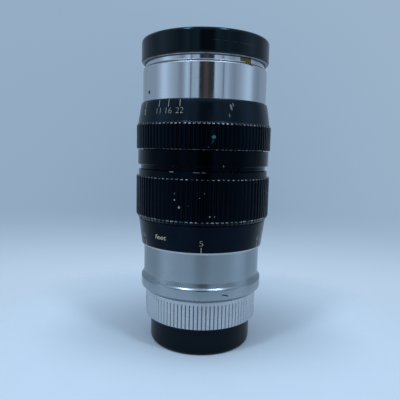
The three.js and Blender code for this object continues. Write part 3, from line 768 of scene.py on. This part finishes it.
class LENS_OT_front_cap(bpy.types.Operator):
    """Builds the slip-on front cap"""
    bl_idname = "lens.front_cap"
    bl_label = "Front Cap"

    def execute(self, context):
        node = "front_cap"
        bottom = low(node)
        crest = radius(node)

        def wear(finish):
            # partly wear, partly painted highlight: a band of bare metal all round the lip stands for the
            # light line its rounding reflects
            lip_highlight = finish.band(bottom + 0.12 * MM, bottom + 0.42 * MM)
            rub_and_highlight = finish.between(finish.noise(5 * MM, 4.0), 0.3, 0.6, 0.28, 0.62)
            height = finish.minus(finish.height, bottom + 4.6 * MM)
            climb = finish.times(finish.minus(finish.azimuth, 0.42), 0.7 * MM)
            off = finish.math("ABSOLUTE", finish.plus(height, climb))
            scratch = finish.between(off, 0.02 * MM, 0.07 * MM, 1.0, 0.0)
            stretch = finish.times(finish.between(finish.azimuth, 0.06, 0.16),
                                   finish.between(finish.azimuth, 0.72, 0.80, 1.0, 0.0))
            broken = finish.between(finish.noise(2.5 * MM, 3.0), 0.38, 0.6, 0.0, 0.10)
            scratch = finish.times(finish.times(scratch, stretch), broken)
            return finish.most(finish.times(lip_highlight, rub_and_highlight), scratch)

        black = black_finish("cap enamel", tuple(context.scene.lens_colours.cap), 0.13, 1.33, wear, dust=0.15)
        outline = outline_of(node)
        rounds = [(r, z, 0.5 * MM) for r, z in outline if z > high(node) - 1.3 * MM and r > crest - 1.3 * MM]
        points = softened(outline, context.scene.lens_sizes.edge, rounds)
        instead_of(node, turned("front_cap_shell", points, black))
        return {"FINISHED"}


# Camera end -------------------------------------------------------------------------------------------

class LENS_OT_mount(bpy.types.Operator):
    """Builds the knurled mount ring, its thread and its grub screws"""
    bl_idname = "lens.mount"
    bl_label = "Mount Ring"

    def execute(self, context):
        node = "mount_ring"
        sizes = context.scene.lens_sizes
        outline = outline_of(node)
        crest = radius(node)
        flange = min(z for r, z in outline if abs(r - crest) < SAME)
        top = high(node)
        knurl_top = top - 1.9 * MM
        depth = 0.36 * MM
        thread_radius = max(r for r, z in outline if z < flange - 0.1 * MM)
        grubs = [bearing("mount_grub_screw_%d" % number) for number in (1, 2)]

        # painted shade: the knurl's grooves and the grub screw holes are painted darker, where shade falls in
        # them
        def grime(finish):
            deep = finish.between(finish.distance, crest - depth, crest - 0.3 * depth, 0.6, 0.0)
            outside = finish.between(finish.distance, crest - 1.2 * depth, crest - 1.1 * depth)
            grooves = finish.times(deep, finish.times(finish.band(flange - 0.3 * MM, knurl_top), outside))
            sunk = finish.between(finish.distance, crest - 0.55 * MM, crest - 0.40 * MM, 1.0, 0.0)
            holes = [
                finish.spot(azimuth, height, 2.6 * MM, 2.6 * MM, crest, 0.0)
                for azimuth, height in grubs
            ]
            return finish.most(grooves, finish.times(finish.most(*holes), sunk))

        tone = scaled(context.scene.lens_colours.chrome, 0.82)
        chrome = chrome_finish("mount chrome", tone, 0.20, 0.25, None, grime)
        azimuths, limits = flutes(sizes.mount_teeth, crest, depth, V_GROOVE)
        run_out = [knurl_top - step * 0.12 * MM for step in range(6)]
        lower_edge = [
            (r, z, 0.35 * MM) for r, z in outline
            if abs(z - flange) < SAME and r > thread_radius
        ]
        core = [  # the body under the thread
            (r - 0.5 * MM if abs(r - thread_radius) < SAME else r, z)
            for r, z in outline
        ]
        points = with_rows(softened(core, sizes.edge, lower_edge), run_out)

        def shape(r, z, column):
            if z < flange - SAME or z > knurl_top:
                return r
            depth_here = min(1.0, math.sqrt(max(0.0, (knurl_top - z) / (0.55 * MM))))
            return min(r, crest - (crest - limits[column]) * depth_here)
        ring = turned("mount_ring_body", points, chrome, azimuths, shape)
        self.add_thread(node, low(node), flange, thread_radius, sizes.thread_pitch, chrome)
        steel = turned_metal("blackened screws", (0.022, 0.023, 0.026), 0.4)
        for number in (1, 2):
            radial_screw(ring, "mount_grub_screw_%d" % number, "mount_grub_screw_slotted_%d" % number,
                         (1.05 * MM, 6 * MM), crest - 3.5 * MM, (0.74 * MM, 2.3 * MM), crest - 2.85 * MM,
                         steel, 0.3 * MM)
        instead_of(node, ring)
        return {"FINISHED"}

    def add_thread(self, node, bottom, flange, crest, pitch, chrome):
        """The thread that screws into the camera."""
        inner = crest - 0.9 * MM
        outline = [(inner, bottom), (crest, bottom), (crest, flange), (inner, flange)]
        points = with_rows(softened(outline, 0.25 * MM), thread_rows(bottom, flange - 0.3 * MM, pitch))
        cut = threaded(bottom + 0.2 * MM, flange - 0.1 * MM, pitch, 0.42 * MM, True)

        def shape(r, z, column):
            return cut(r, z, column) if r > crest - 0.3 * MM else r
        beside(node, turned("mount_thread", points, chrome, shape=shape))


RIM_NICKS = ((-41, 4.75, 1.6, 0.3, 0.6), (-31, 4.75, 0.9, 0.3, 0.6), (-27, 4.75, 0.6, 0.3, 0.6),
             (15, 4.75, 0.8, 0.3, 0.6), (33, 4.75, 0.6, 0.3, 0.6))


class LENS_OT_fixed_barrel(bpy.types.Operator):
    """Builds the satin fixed barrel with its rim"""
    bl_idname = "lens.fixed_barrel"
    bl_label = "Fixed Barrel"

    def execute(self, context):
        node = "fixed_barrel"
        outline = outline_of(node)
        crest = radius(node)
        rim_low = min(z for r, z in outline if r > crest - SAME)

        def marks(finish):
            dent = finish.spots([(21.6, 1.8, 2.1, 0.62, 1.0)], rim_low, crest, 0.3, 0.9)
            chip = finish.spots([(24.2, 1.25, 0.9, 0.45, 0.7)], rim_low, crest, 0.4)
            nicks = finish.spots(RIM_NICKS, rim_low, crest, 0.8)
            index = finish.spots([(-59, 16.5, 0.26, 5, 0.5)], rim_low, crest, 0.1)
            return finish.most(dent, chip, nicks, index)

        def on_fillet(finish):
            fillet = finish.band(rim_low + 3.9 * MM, rim_low + 6.4 * MM, 0.25 * MM)
            return finish.times(fillet, 0.4)

        tone = tuple(context.scene.lens_colours.satin)
        satin = chrome_finish("satin chrome", tone, 0.13, 0.35, marks, duller=on_fillet)
        rounds = [
            (r, z, 0.4 * MM) for r, z in outline
            if rim_low + 3 * MM < z < rim_low + 8 * MM and r > crest - 2 * MM
        ]
        points = softened(outline, context.scene.lens_sizes.edge, rounds)
        instead_of(node, turned("fixed_barrel_shell", points, satin))
        return {"FINISHED"}


class LENS_OT_camera_end(bpy.types.Operator):
    """Builds the distance measuring tube, the thrust nut and the helicoid inside the barrel"""
    bl_idname = "lens.camera_end"
    bl_label = "Camera End"

    def execute(self, context):
        brass = turned_metal("greased brass", (0.60, 0.43, 0.19), 0.28)
        edge = context.scene.lens_sizes.edge
        for node in ("coupling_sleeve", "thrust_nut", "helicoid"):
            plain_turned(node, brass, edge)
        steel = bpy.data.materials["blackened screws"]
        for node in ("key_screw_1", "key_screw_2"):
            frame["nodes"][node].data.materials[0] = steel
        frame["nodes"]["focus_key"].data.materials[0] = brass
        return {"FINISHED"}


# Focus ring -------------------------------------------------------------------------------------------

GRIP_FLECKS = ((-21.9, 9.5, 0.65, 0.65, 0.9), (-18.0, 6.8, 0.75, 0.95, 1.0), (-21.9, 11.9, 0.35, 0.5, 0.5),
               (1.4, 12.2, 0.4, 0.7, 0.4), (-2.1, 10.5, 0.35, 0.35, 0.6), (-2.9, 12.6, 0.3, 0.4, 0.35),
               (6.0, 3.7, 0.5, 0.55, 0.9), (9.7, 3.7, 0.35, 0.55, 0.8), (-13.2, 8.0, 0.3, 0.4, 0.35),
               (-10.8, 7.5, 0.35, 0.35, 0.4), (33.0, 9.0, 0.25, 0.5, 0.25))
COLLAR_DASHES = ((-25.7, 2.5, 1.8, 0.28, 0.9), (-5, 2.5, 2.6, 0.28, 0.4), (0.8, 2.5, 1.5, 0.28, 0.5))


class LENS_OT_focus_grip(bpy.types.Operator):
    """Builds the fluted focus grip and its screws"""
    bl_idname = "lens.focus_grip"
    bl_label = "Focus Grip"

    def execute(self, context):
        node = "focus_grip"
        sizes = context.scene.lens_sizes
        outline = outline_of(node)
        crest = radius(node)
        top = max(z for r, z in outline if r > crest - SAME)
        collar = max(r for r, z in outline if z > top + 0.5 * MM)
        bottom = min(z for r, z in outline if r > collar - 0.1 * MM)
        chamfer = min(z for r, z in outline if r > crest - SAME)

        def wear(finish):
            ends = tooth_ends(finish, chamfer, top, crest, 0.26 * MM, 0.95)
            flecks = finish.spots(GRIP_FLECKS, bottom, crest)
            dashes = finish.spots(COLLAR_DASHES, top, collar, 0.3)
            return finish.most(ends, flecks, dashes)

        tone = scaled(context.scene.lens_colours.black, 1.5)
        black = black_finish("grip black", tone, 0.24, wear=wear)
        points = with_rows(softened(outline, sizes.edge), [bottom + 0.35 * MM, top - 0.4 * MM])
        grip = fluted("focus_grip_fluted", points, black, sizes.focus_teeth, crest, sizes.flute_depth)
        steel = bpy.data.materials["blackened screws"]
        for number in (1, 2, 3):
            screw_node = "focus_screw_%d" % number
            lowest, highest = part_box(screw_node)
            centre = (lowest + highest) / 2
            foot = Matrix.Translation((centre.x, centre.y, highest.z - 7 * MM))
            drilled(grip, 0.95 * MM, 9 * MM, foot, black)
            length = highest.z - lowest.z
            fixing = screw("focus_screw_slotted_%d" % number, 0.75 * MM, length, steel, 0.3 * MM)
            instead_of(screw_node, place(fixing, Matrix.Translation((centre.x, centre.y, lowest.z))))
        instead_of(node, grip)
        return {"FINISHED"}


# Feet, and the azimuth of each distance's line.
DISTANCES = ((5, 0.0), (6, 59.9), (7, 99.9), (8, 128.3), (10, 166.4), (12, -169.3), (15, -145.8),
             (20, -123.0), (25, -109.7), (30, -99.0), (50, -84.5))
INFINITY = -59.0


class LENS_OT_distance_ring(bpy.types.Operator):
    """Builds the distance ring with its scale in feet"""
    bl_idname = "lens.distance_ring"
    bl_label = "Distance Ring"

    def execute(self, context):
        node = "distance_ring"
        sizes = context.scene.lens_sizes
        outline = outline_of(node)
        bottom = low(node)
        tone = scaled(context.scene.lens_colours.black, 2.2)

        def wear(finish):
            bevel = finish.band(bottom - 0.1 * MM, bottom + 0.74 * MM, 0.04 * MM)
            return finish.times(bevel, 0.9)
        black = black_finish("ring black", tone, 0.22, wear=wear, dust=0.25)
        instead_of(node, turned("distance_ring_shell", softened(outline, sizes.edge), black))
        paint = paint_finish("figure paint", tuple(context.scene.lens_colours.figures), 0.3)
        size = sizes.distance_numeral
        figures_foot = bottom + 3.6 * MM
        marks = [(lettering(str(feet), size, 1.4), azimuth, figures_foot) for feet, azimuth in DISTANCES]
        marks += [(bar(0.2 * MM, 2.5 * MM), azimuth, bottom + 0.45 * MM) for _, azimuth in DISTANCES]
        marks.append((lettering("feet", 1.9 * MM, 1.35, 0.15, 0.0), -37.4, bottom + 4.7 * MM))
        marks.append((lettering("∞", 1.3 * MM), INFINITY - 2.5, bottom + 4.2 * MM))
        marks.append((bar(0.2 * MM, 2.5 * MM), INFINITY, bottom + 0.45 * MM))
        beside(node, inscribed("distance_figures", marks, outside_of(outline), 0.015 * MM, paint))
        return {"FINISHED"}


# Head -------------------------------------------------------------------------------------------------

class LENS_OT_head_collar(bpy.types.Operator):
    """Builds the smooth band with the groove under it, and its screws"""
    bl_idname = "lens.head_collar"
    bl_label = "Head Collar"

    def execute(self, context):
        node = "head_collar"
        outline = outline_of(node)
        crest = radius(node)
        shoulder = min(z for r, z in outline if r > crest - 0.5 * MM)

        def wear(finish):
            # partly wear, partly painted highlight: bare metal in a thin band at the lower bevel stands for
            # its light line
            edge = finish.band(shoulder - 0.02 * MM, shoulder + 0.22 * MM)
            rub_and_highlight = finish.between(finish.noise(6 * MM, 4.0, rough=0.65), 0.42, 0.75, 0.03, 0.35)
            nick = finish.spots([(16, 0.5, 0.35, 1.0, 0.4)], shoulder, crest, 0.6)
            return finish.most(finish.times(edge, rub_and_highlight), nick)

        tone = tuple(context.scene.lens_colours.black)
        black = black_finish("band black", tone, 0.17, wear=wear, dust=0.2)
        points = softened(outline, context.scene.lens_sizes.edge)
        collar = turned("head_collar_shell", points, black)
        for number in (1, 2, 3):
            screw_node = "collar_screw_%d" % number
            outer = outside_of(outline)(bearing(screw_node)[1])
            radial_screw(collar, screw_node, "collar_screw_slotted_%d" % number,
                         (0.58 * MM, 6 * MM), outer - 4 * MM, (0.52 * MM, 1.98 * MM), outer - 2.1 * MM,
                         black, 0.18 * MM)
        instead_of(node, collar)
        return {"FINISHED"}


# The aperture numerals, and the azimuth of each one's line.
STOPS = (("3.5", -106.0), ("4", -96.5), ("5.6", -77.5), ("8", -58.4), ("11", -39.4), ("16", -29.7),
         ("22", -19.5))
CONE_CHIPS = ((21.6, 6.2, 0.9, 2.2, 0.5), (23.4, 7.2, 0.7, 1.3, 0.4), (20.0, 3.2, 0.5, 1.6, 0.4),
              (-22.8, -3.0, 0.3, 0.5, 0.4), (-44.6, -3.0, 0.4, 0.5, 0.3), (3.8, -8.3, 0.3, 0.4, 0.45))


class LENS_OT_aperture_ring(bpy.types.Operator):
    """Builds the fluted aperture ring, its scale and its lacquered drive screw"""
    bl_idname = "lens.aperture_ring"
    bl_label = "Aperture Ring"

    def execute(self, context):
        node = "aperture_ring"
        sizes = context.scene.lens_sizes
        outline = outline_of(node)
        crest = radius(node)
        crest_heights = [z for r, z in outline if r > crest - SAME]
        top = max(crest_heights)
        bottom = min(crest_heights) - 0.3 * MM

        def wear(finish):
            ends = tooth_ends(finish, bottom + 0.08 * MM, top, crest, 0.17 * MM, 0.65)
            return finish.most(ends, finish.spots(CONE_CHIPS, top, crest, 0.8, 0.5))

        # painted sheen: the cone above the flutes takes the lighter black, for its brighter reflections
        def on_cone(finish):
            return finish.between(finish.height, top - 0.1 * MM, top + 0.3 * MM)

        tone = scaled(context.scene.lens_colours.black, 1.7)
        black = black_finish("aperture black", tone, 0.20, wear=wear, painted_sheen=on_cone)
        points = with_rows(softened(outline, sizes.edge), [bottom + 0.5 * MM, top - 0.3 * MM])
        ring = fluted("aperture_ring_fluted", points, black, sizes.aperture_teeth, crest, sizes.flute_depth)
        screw_node = "iris_drive_screw"
        azimuth, height = bearing(screw_node)
        drilled(ring, 0.88 * MM, 6 * MM, radial(azimuth, crest - 4 * MM, height), black)
        lacquer = paint_finish("green lacquer", tuple(context.scene.lens_colours.lacquer), 0.5)
        head = solid_rod("iris_drive_screw_lacquered", 0.78 * MM, 2.6 * MM, lacquer, 0.2 * MM)
        instead_of(screw_node, place(head, radial(azimuth, crest - 2.9 * MM, height)))
        instead_of(node, ring)
        paint = bpy.data.materials["figure paint"]
        size = sizes.numeral
        end = high(node)
        marks = [(lettering(stop, size, 1.08), angle, end - 5.3 * MM) for stop, angle in STOPS]
        marks += [(bar(0.18 * MM, 2.6 * MM), angle, end - 2.85 * MM) for _, angle in STOPS]
        beside(node, inscribed("aperture_figures", marks, outside_of(outline), 0.015 * MM, paint))
        return {"FINISHED"}


BARREL_SPECKS = ((38, -0.6, 0.3, 0.3, 0.6), (41, -0.9, 0.25, 0.25, 0.6), (-6.5, -6.0, 0.3, 0.3, 0.6),
                 (-4, -4.4, 0.25, 0.25, 0.6))


class LENS_OT_front_barrel(bpy.types.Operator):
    """Builds the bright front barrel, its index, a black dot painted as the shade in a screw hole, and the
    scrap of gold foil on it
    """
    bl_idname = "lens.front_barrel"
    bl_label = "Front Barrel"

    def execute(self, context):
        node = "front_barrel"
        outline = outline_of(node)
        crest = radius(node)
        shoulder = max(z for r, z in outline if r > crest - SAME)

        def marks(finish):
            specks = finish.spots(BARREL_SPECKS, shoulder, crest, 0.6)
            line = finish.spots([(-46.8, -10.8, 0.16, 4.2, 0.25)], shoulder, crest, 0.1)
            # painted reflection: the chamfer at the shoulder is painted darker, for the dark reflection it
            # shows
            chamfer_dark_reflection = finish.times(finish.band(shoulder, shoulder + 0.75 * MM, 0.1 * MM), 0.5)
            return finish.most(line, chamfer_dark_reflection, specks)

        def on_shoulder(finish):
            return finish.band(shoulder - 0.2 * MM, shoulder + 0.9 * MM, 0.15 * MM)

        tone = tuple(context.scene.lens_colours.chrome)
        chrome = chrome_finish("bright chrome", tone, 0.07, 0.35, marks, duller=on_shoulder)
        rounds = [(r, z, 0.4 * MM) for r, z in outline if shoulder - 0.1 * MM < z < shoulder + 1.0 * MM]
        points = softened(outline, context.scene.lens_sizes.edge, rounds)
        instead_of(node, turned("front_barrel_shell", points, chrome))
        # painted shade: a flat black dot stands for the dark inside of a grub screw hole
        hole_shade = paint_finish("painted hole shade", (0.004, 0.005, 0.007), 0.3)
        hole_dot = [(disc(0.75 * MM), -56.8, low(node) + 5.3 * MM)]
        beside(node, inscribed("screw_hole_shade", hole_dot, lambda z: crest, 0.02 * MM, hole_shade))
        self.add_foil(node, outline)
        return {"FINISHED"}

    def add_foil(self, node, outline):
        """The scrap of gold foil left on the cap's seat."""
        finish = Finish("gold foil", metallic=0.7)
        grain = finish.noise(0.5 * MM, 4.0, rough=0.65)
        base = finish.mix(finish.between(grain, 0.35, 0.7), (0.19, 0.155, 0.035), (0.055, 0.05, 0.02))
        finish.bump(grain, 0.05 * MM, 0.6)
        material = finish.give(base, 0.42)
        draw = random.Random(7)
        first, last = 31.5, 44.3
        steps = 26
        rows = 5
        top = low("front_cap") + 0.4 * MM
        surface = outside_of(outline)
        vertices = []
        ragged = 0.0
        for i in range(steps + 1):
            share = i / steps
            ragged = 0.55 * ragged + draw.uniform(-0.42, 0.42)
            droop = 1.45 + 1.15 * share + (0.5 if share > 0.9 else 0.0) + ragged
            for k in range(rows + 1):
                height = top - (0.4 + droop) * MM * k / rows
                lift = 0.03 * MM + 0.05 * MM * (k / rows) ** 3
                vertices.append(around(surface(height) + lift, first + (last - first) * share, height))
        count = rows + 1
        faces = [
            (i * count + k, i * count + k + 1, (i + 1) * count + k + 1, (i + 1) * count + k)
            for i in range(steps) for k in range(rows)
        ]
        foil = piece_from("gold_foil_scrap", vertices, faces, material)
        foil.modifiers.new("thickness", "SOLIDIFY").thickness = 0.04 * MM
        give(foil, body_of(node), "brass")


class LENS_OT_optics(bpy.types.Operator):
    """Builds the cells, rings and glass, and finishes the iris"""
    bl_idname = "lens.optics"
    bl_label = "Glass and Iris"

    def execute(self, context):
        edge = context.scene.lens_sizes.edge
        matt = matt_finish("matt black", (0.012, 0.012, 0.013))
        glass = glass_finish()
        for node in ("front_cell", "rear_cell", "front_retaining_ring", "middle_retaining_ring",
                     "rear_retaining_ring", "front_trim_ring"):
            plain_turned(node, matt, edge)
        for node in ("front_element", "second_element", "third_element", "rear_element"):
            plain_turned(node, glass, 0.4 * MM, "_polished")
        blades = blade_finish()
        brass = bpy.data.materials["greased brass"]
        alloy = turned_metal("turned aluminium", (0.58, 0.58, 0.58), 0.32)
        for name, node in frame["nodes"].items():
            finish = None
            if name.startswith("iris_blade"):
                finish = blades
            elif name in ("iris_housing", "rear_baffle"):
                finish = matt
            elif name == "iris_ring":
                finish = brass
            elif name == "head_barrel":
                finish = alloy
            if finish:
                node.data.materials[0] = finish
                if not name.startswith("iris_blade"):
                    bevel = node.modifiers.new("edges", "BEVEL")
                    bevel.width = 0.08 * MM
                    bevel.segments = 2
                    bevel.limit_method = "ANGLE"
        return {"FINISHED"}


# Stage ------------------------------------------------------------------------------------------------

AIR = (0.76, 1.03, 1.36)  # the light's colour, for a brightness of 1
BROWN = (0.085, 0.060, 0.065)

# The cards round the lens, from behind on its left to the front, and on to behind on its right, as
# (azimuth, brightness or colour). Two points close together are a card's edge.
LEFT_CARDS = ((-180, 0.38), (-157, 0.34), (-140, 0.33), (-120, 0.37), (-98, 0.38), (-90, 0.50),
              (-80, 0.74), (-74, 0.72), (-64, 0.53), (-50, 0.39), (-43, 0.28), (-38, 0.38), (-32, 0.66),
              (-26.2, 0.52), (-25.4, 0.10), (-24.2, 0.10), (-23.4, 0.46), (-11.0, 0.52), (-9.5, 0.03),
              (-2.5, 0.035), (-0.5, BROWN), (0, BROWN))
RIGHT_CARDS = ((0, BROWN), (5.0, BROWN), (7.5, 0.035), (16.0, 0.04), (17.6, 0.62), (23, 0.55),
               (31.8, 0.40), (32.4, 0.16), (33.6, 0.16), (34.3, 0.44), (40, 0.53), (46, 0.37), (54, 0.31),
               (66, 0.43), (76, 0.60), (85, 0.72), (92, 0.60), (99, 0.38), (111, 0.30), (125, 0.37),
               (140, 0.36), (157, 0.36), (180, 0.38))

# What the lens mirrors from below the horizon, in the same way.
LEFT_GROUND = ((-180, 0.46), (-157, 0.40), (-140, 0.41), (-120, 0.46), (-104, 0.45), (-90, 0.52),
               (-75, 0.70), (-58, 0.63), (-40, 0.57), (-20, 0.56), (-8, 0.43), (0, 0.38))
RIGHT_GROUND = ((0, 0.38), (8, 0.41), (20, 0.47), (40, 0.48), (58, 0.54), (75, 0.66), (88, 0.62),
                (104, 0.47), (120, 0.49), (140, 0.47), (157, 0.48), (180, 0.46))
CEILING = 0.52

WALL_LEFT = (0.290, 0.405, 0.545)
WALL_RIGHT = (0.332, 0.452, 0.588)
WALL_SHADE = (0.245, 0.357, 0.487)  # the soft shade on the wall behind the lens
WALL_FOOT = (0.474, 0.625, 0.803)

CAMERA_PLACE = (0, -0.18102, 0.0816)
CAMERA_LENS = 38.06
CAMERA_DOWN, CAMERA_LEAN, CAMERA_TURN = 6.829, 0.302, 1.233  # degrees

LAMPS = (("left_lamp", -41, 1.5), ("right_lamp", 41, 1.4))  # name, azimuth and watts
LAMP_COLOUR = (0.74, 0.96, 1.22)


class LENS_OT_stage(bpy.types.Operator):
    """Builds the floor, the light and the camera"""
    bl_idname = "lens.stage"
    bl_label = "Stage"

    def execute(self, context):
        scene = context.scene
        scene.view_settings.view_transform = "Standard"
        self.add_camera(scene)
        self.add_surroundings(scene)
        self.add_floor()
        self.add_lamps(scene)
        return {"FINISHED"}

    def add_camera(self, scene):
        """A close view from a little above the lens's middle."""
        data = bpy.data.cameras.new("camera")
        data.sensor_width = 36.0
        data.lens = CAMERA_LENS
        data.clip_start = 0.005
        camera = bpy.data.objects.new("camera", data)
        lean = Euler((math.radians(90 - CAMERA_DOWN), 0, math.radians(CAMERA_LEAN))).to_matrix()
        turned_lean = lean @ Matrix.Rotation(math.radians(CAMERA_TURN), 3, "Z")
        camera.matrix_world = Matrix.Translation(CAMERA_PLACE) @ turned_lean.to_4x4()
        scene.collection.objects.link(camera)
        scene.camera = camera

    def add_surroundings(self, scene):
        """Soft light and dark cards all round, and a wall behind everything, lighter to the right and
        upwards, with a painted shade on it behind the lens.
        """
        world = bpy.data.worlds.new("studio")
        scene.world = world
        world.use_nodes = True
        sky = Nodes(world.node_tree)
        toward = sky.node("ShaderNodeTexCoord").outputs["Generated"]
        right, back, height = sky.node("ShaderNodeSeparateXYZ", toward).outputs
        azimuth = sky.math("ARCTAN2", right, sky.times(back, -1.0))

        def ramp(cards):
            first, last = cards[0][0], cards[-1][0]
            turn = sky.times(sky.minus(azimuth, math.radians(first)), 1 / math.radians(last - first))
            made = sky.node("ShaderNodeValToRGB", turn)
            elements = made.color_ramp.elements
            while len(elements) > 1:
                elements.remove(elements[0])
            for index, (at, level) in enumerate(cards):
                share = (at - first) / (last - first)
                element = elements[0] if index == 0 else elements.new(share)
                element.position = share
                colour = level if isinstance(level, tuple) else scaled(AIR, level)
                element.color = (*colour, 1.0)
            return made.outputs[0]

        on_right = sky.math("GREATER_THAN", azimuth, 0.0)
        cards = sky.mix(on_right, ramp(LEFT_CARDS), ramp(RIGHT_CARDS))
        ground = sky.mix(on_right, ramp(LEFT_GROUND), ramp(RIGHT_GROUND))
        lit = sky.mix(sky.between(height, 0.30, 0.70), cards, scaled(AIR, CEILING))
        lit = sky.mix(sky.between(height, -0.21, -0.12), ground, lit)
        slope = sky.plus(sky.plus(sky.times(right, 0.8), 0.5), sky.times(height, 0.6))
        wall = sky.mix(slope, WALL_LEFT, WALL_RIGHT)
        across = sky.times(sky.plus(right, 0.03), 3.6)
        shade = sky.math("POWER", 2.718, sky.times(sky.times(across, across), -1.0))
        shade = sky.times(shade, sky.minus(0.75, sky.times(height, 2.2)))
        wall = sky.mix(sky.most(shade, 0.0), wall, WALL_SHADE)
        wall = sky.mix(sky.between(height, -0.29, -0.13), WALL_FOOT, wall)
        seen = sky.node("ShaderNodeLightPath").outputs["Is Camera Ray"]
        sky.put(sky.tree.nodes["Background"].inputs["Color"], sky.mix(seen, lit, wall))

    def add_floor(self):
        """A round pale table top, painted darker close behind the lens as its shadow, that melts into the
        wall behind it.
        """
        finish = Finish("table top", specular=0.2)
        grain = finish.noise(14 * MM, 3.0)
        base = finish.mix(grain, (0.86, 0.88, 0.89), (0.89, 0.91, 0.92))
        # painted shadow: the table top is painted darker close beside and behind the lens
        near = finish.times(finish.between(finish.distance, 0.026, 0.080, 1.0, 0.0),
                            finish.between(finish.y, -0.045, 0.005, 0.0, 0.75))
        base = finish.mix(near, base, (0.52, 0.55, 0.58))
        material = finish.give(base, 0.65)
        clear = finish.node("ShaderNodeBsdfTransparent").outputs[0]
        far = finish.between(finish.distance, 0.065, 0.125)
        melt = finish.node("ShaderNodeMixShader", far, finish.surface.outputs[0], clear)
        finish.put(finish.tree.nodes["Material Output"].inputs["Surface"], melt.outputs[0])
        sides = 96
        rim = [around(0.13, 360 * i / sides, 0.0) for i in range(sides)]
        floor = piece_from("table_top", rim, [tuple(range(sides))], material)

    def add_lamps(self, scene):
        """Two small round ceiling lamps."""
        elevation = math.radians(58)
        distance = 0.9
        for name, azimuth, power in LAMPS:
            light = bpy.data.lights.new(name, "AREA")
            light.shape = "DISK"
            light.size = 0.13
            light.energy = power
            light.color = LAMP_COLOUR
            lamp = bpy.data.objects.new(name, light)
            lamp.location = around(distance * math.cos(elevation), azimuth, distance * math.sin(elevation))
            lamp.rotation_euler = (-lamp.location).to_track_quat("-Z", "Y").to_euler()
            scene.collection.objects.link(lamp)


# Panel ------------------------------------------------------------------------------------------------

PIECES = (
    LENS_OT_stage,
    LENS_OT_rear_cap,
    LENS_OT_mount,
    LENS_OT_fixed_barrel,
    LENS_OT_camera_end,
    LENS_OT_focus_grip,
    LENS_OT_distance_ring,
    LENS_OT_head_collar,
    LENS_OT_aperture_ring,
    LENS_OT_front_barrel,
    LENS_OT_front_cap,
    LENS_OT_optics,
)


class LENS_PT_panel(bpy.types.Panel):
    """Lists the pieces of the lens, in the order they are built"""
    bl_idname = "LENS_PT_panel"
    bl_label = "Telephoto Lens"
    bl_space_type = "VIEW_3D"
    bl_region_type = "UI"
    bl_category = "Lens"

    def draw(self, context):
        column = self.layout.column(align=True)
        for group in (context.scene.lens_sizes, context.scene.lens_colours):
            for key in group.__annotations__:
                column.prop(group, key)
        for piece in PIECES:
            column.operator(piece.bl_idname)


CLASSES = (LensSizes, LensColours, *PIECES, LENS_PT_panel)


def register():
    for made in CLASSES:
        bpy.utils.register_class(made)
    bpy.types.Scene.lens_sizes = PointerProperty(type=LensSizes)
    bpy.types.Scene.lens_colours = PointerProperty(type=LensColours)


def unregister():
    del bpy.types.Scene.lens_colours
    del bpy.types.Scene.lens_sizes
    for made in reversed(CLASSES):
        bpy.utils.unregister_class(made)


def main():
    register()
    for piece in PIECES:
        group, name = piece.bl_idname.split(".")
        getattr(getattr(bpy.ops, group), name)()


if __name__ == "__main__":
    main()
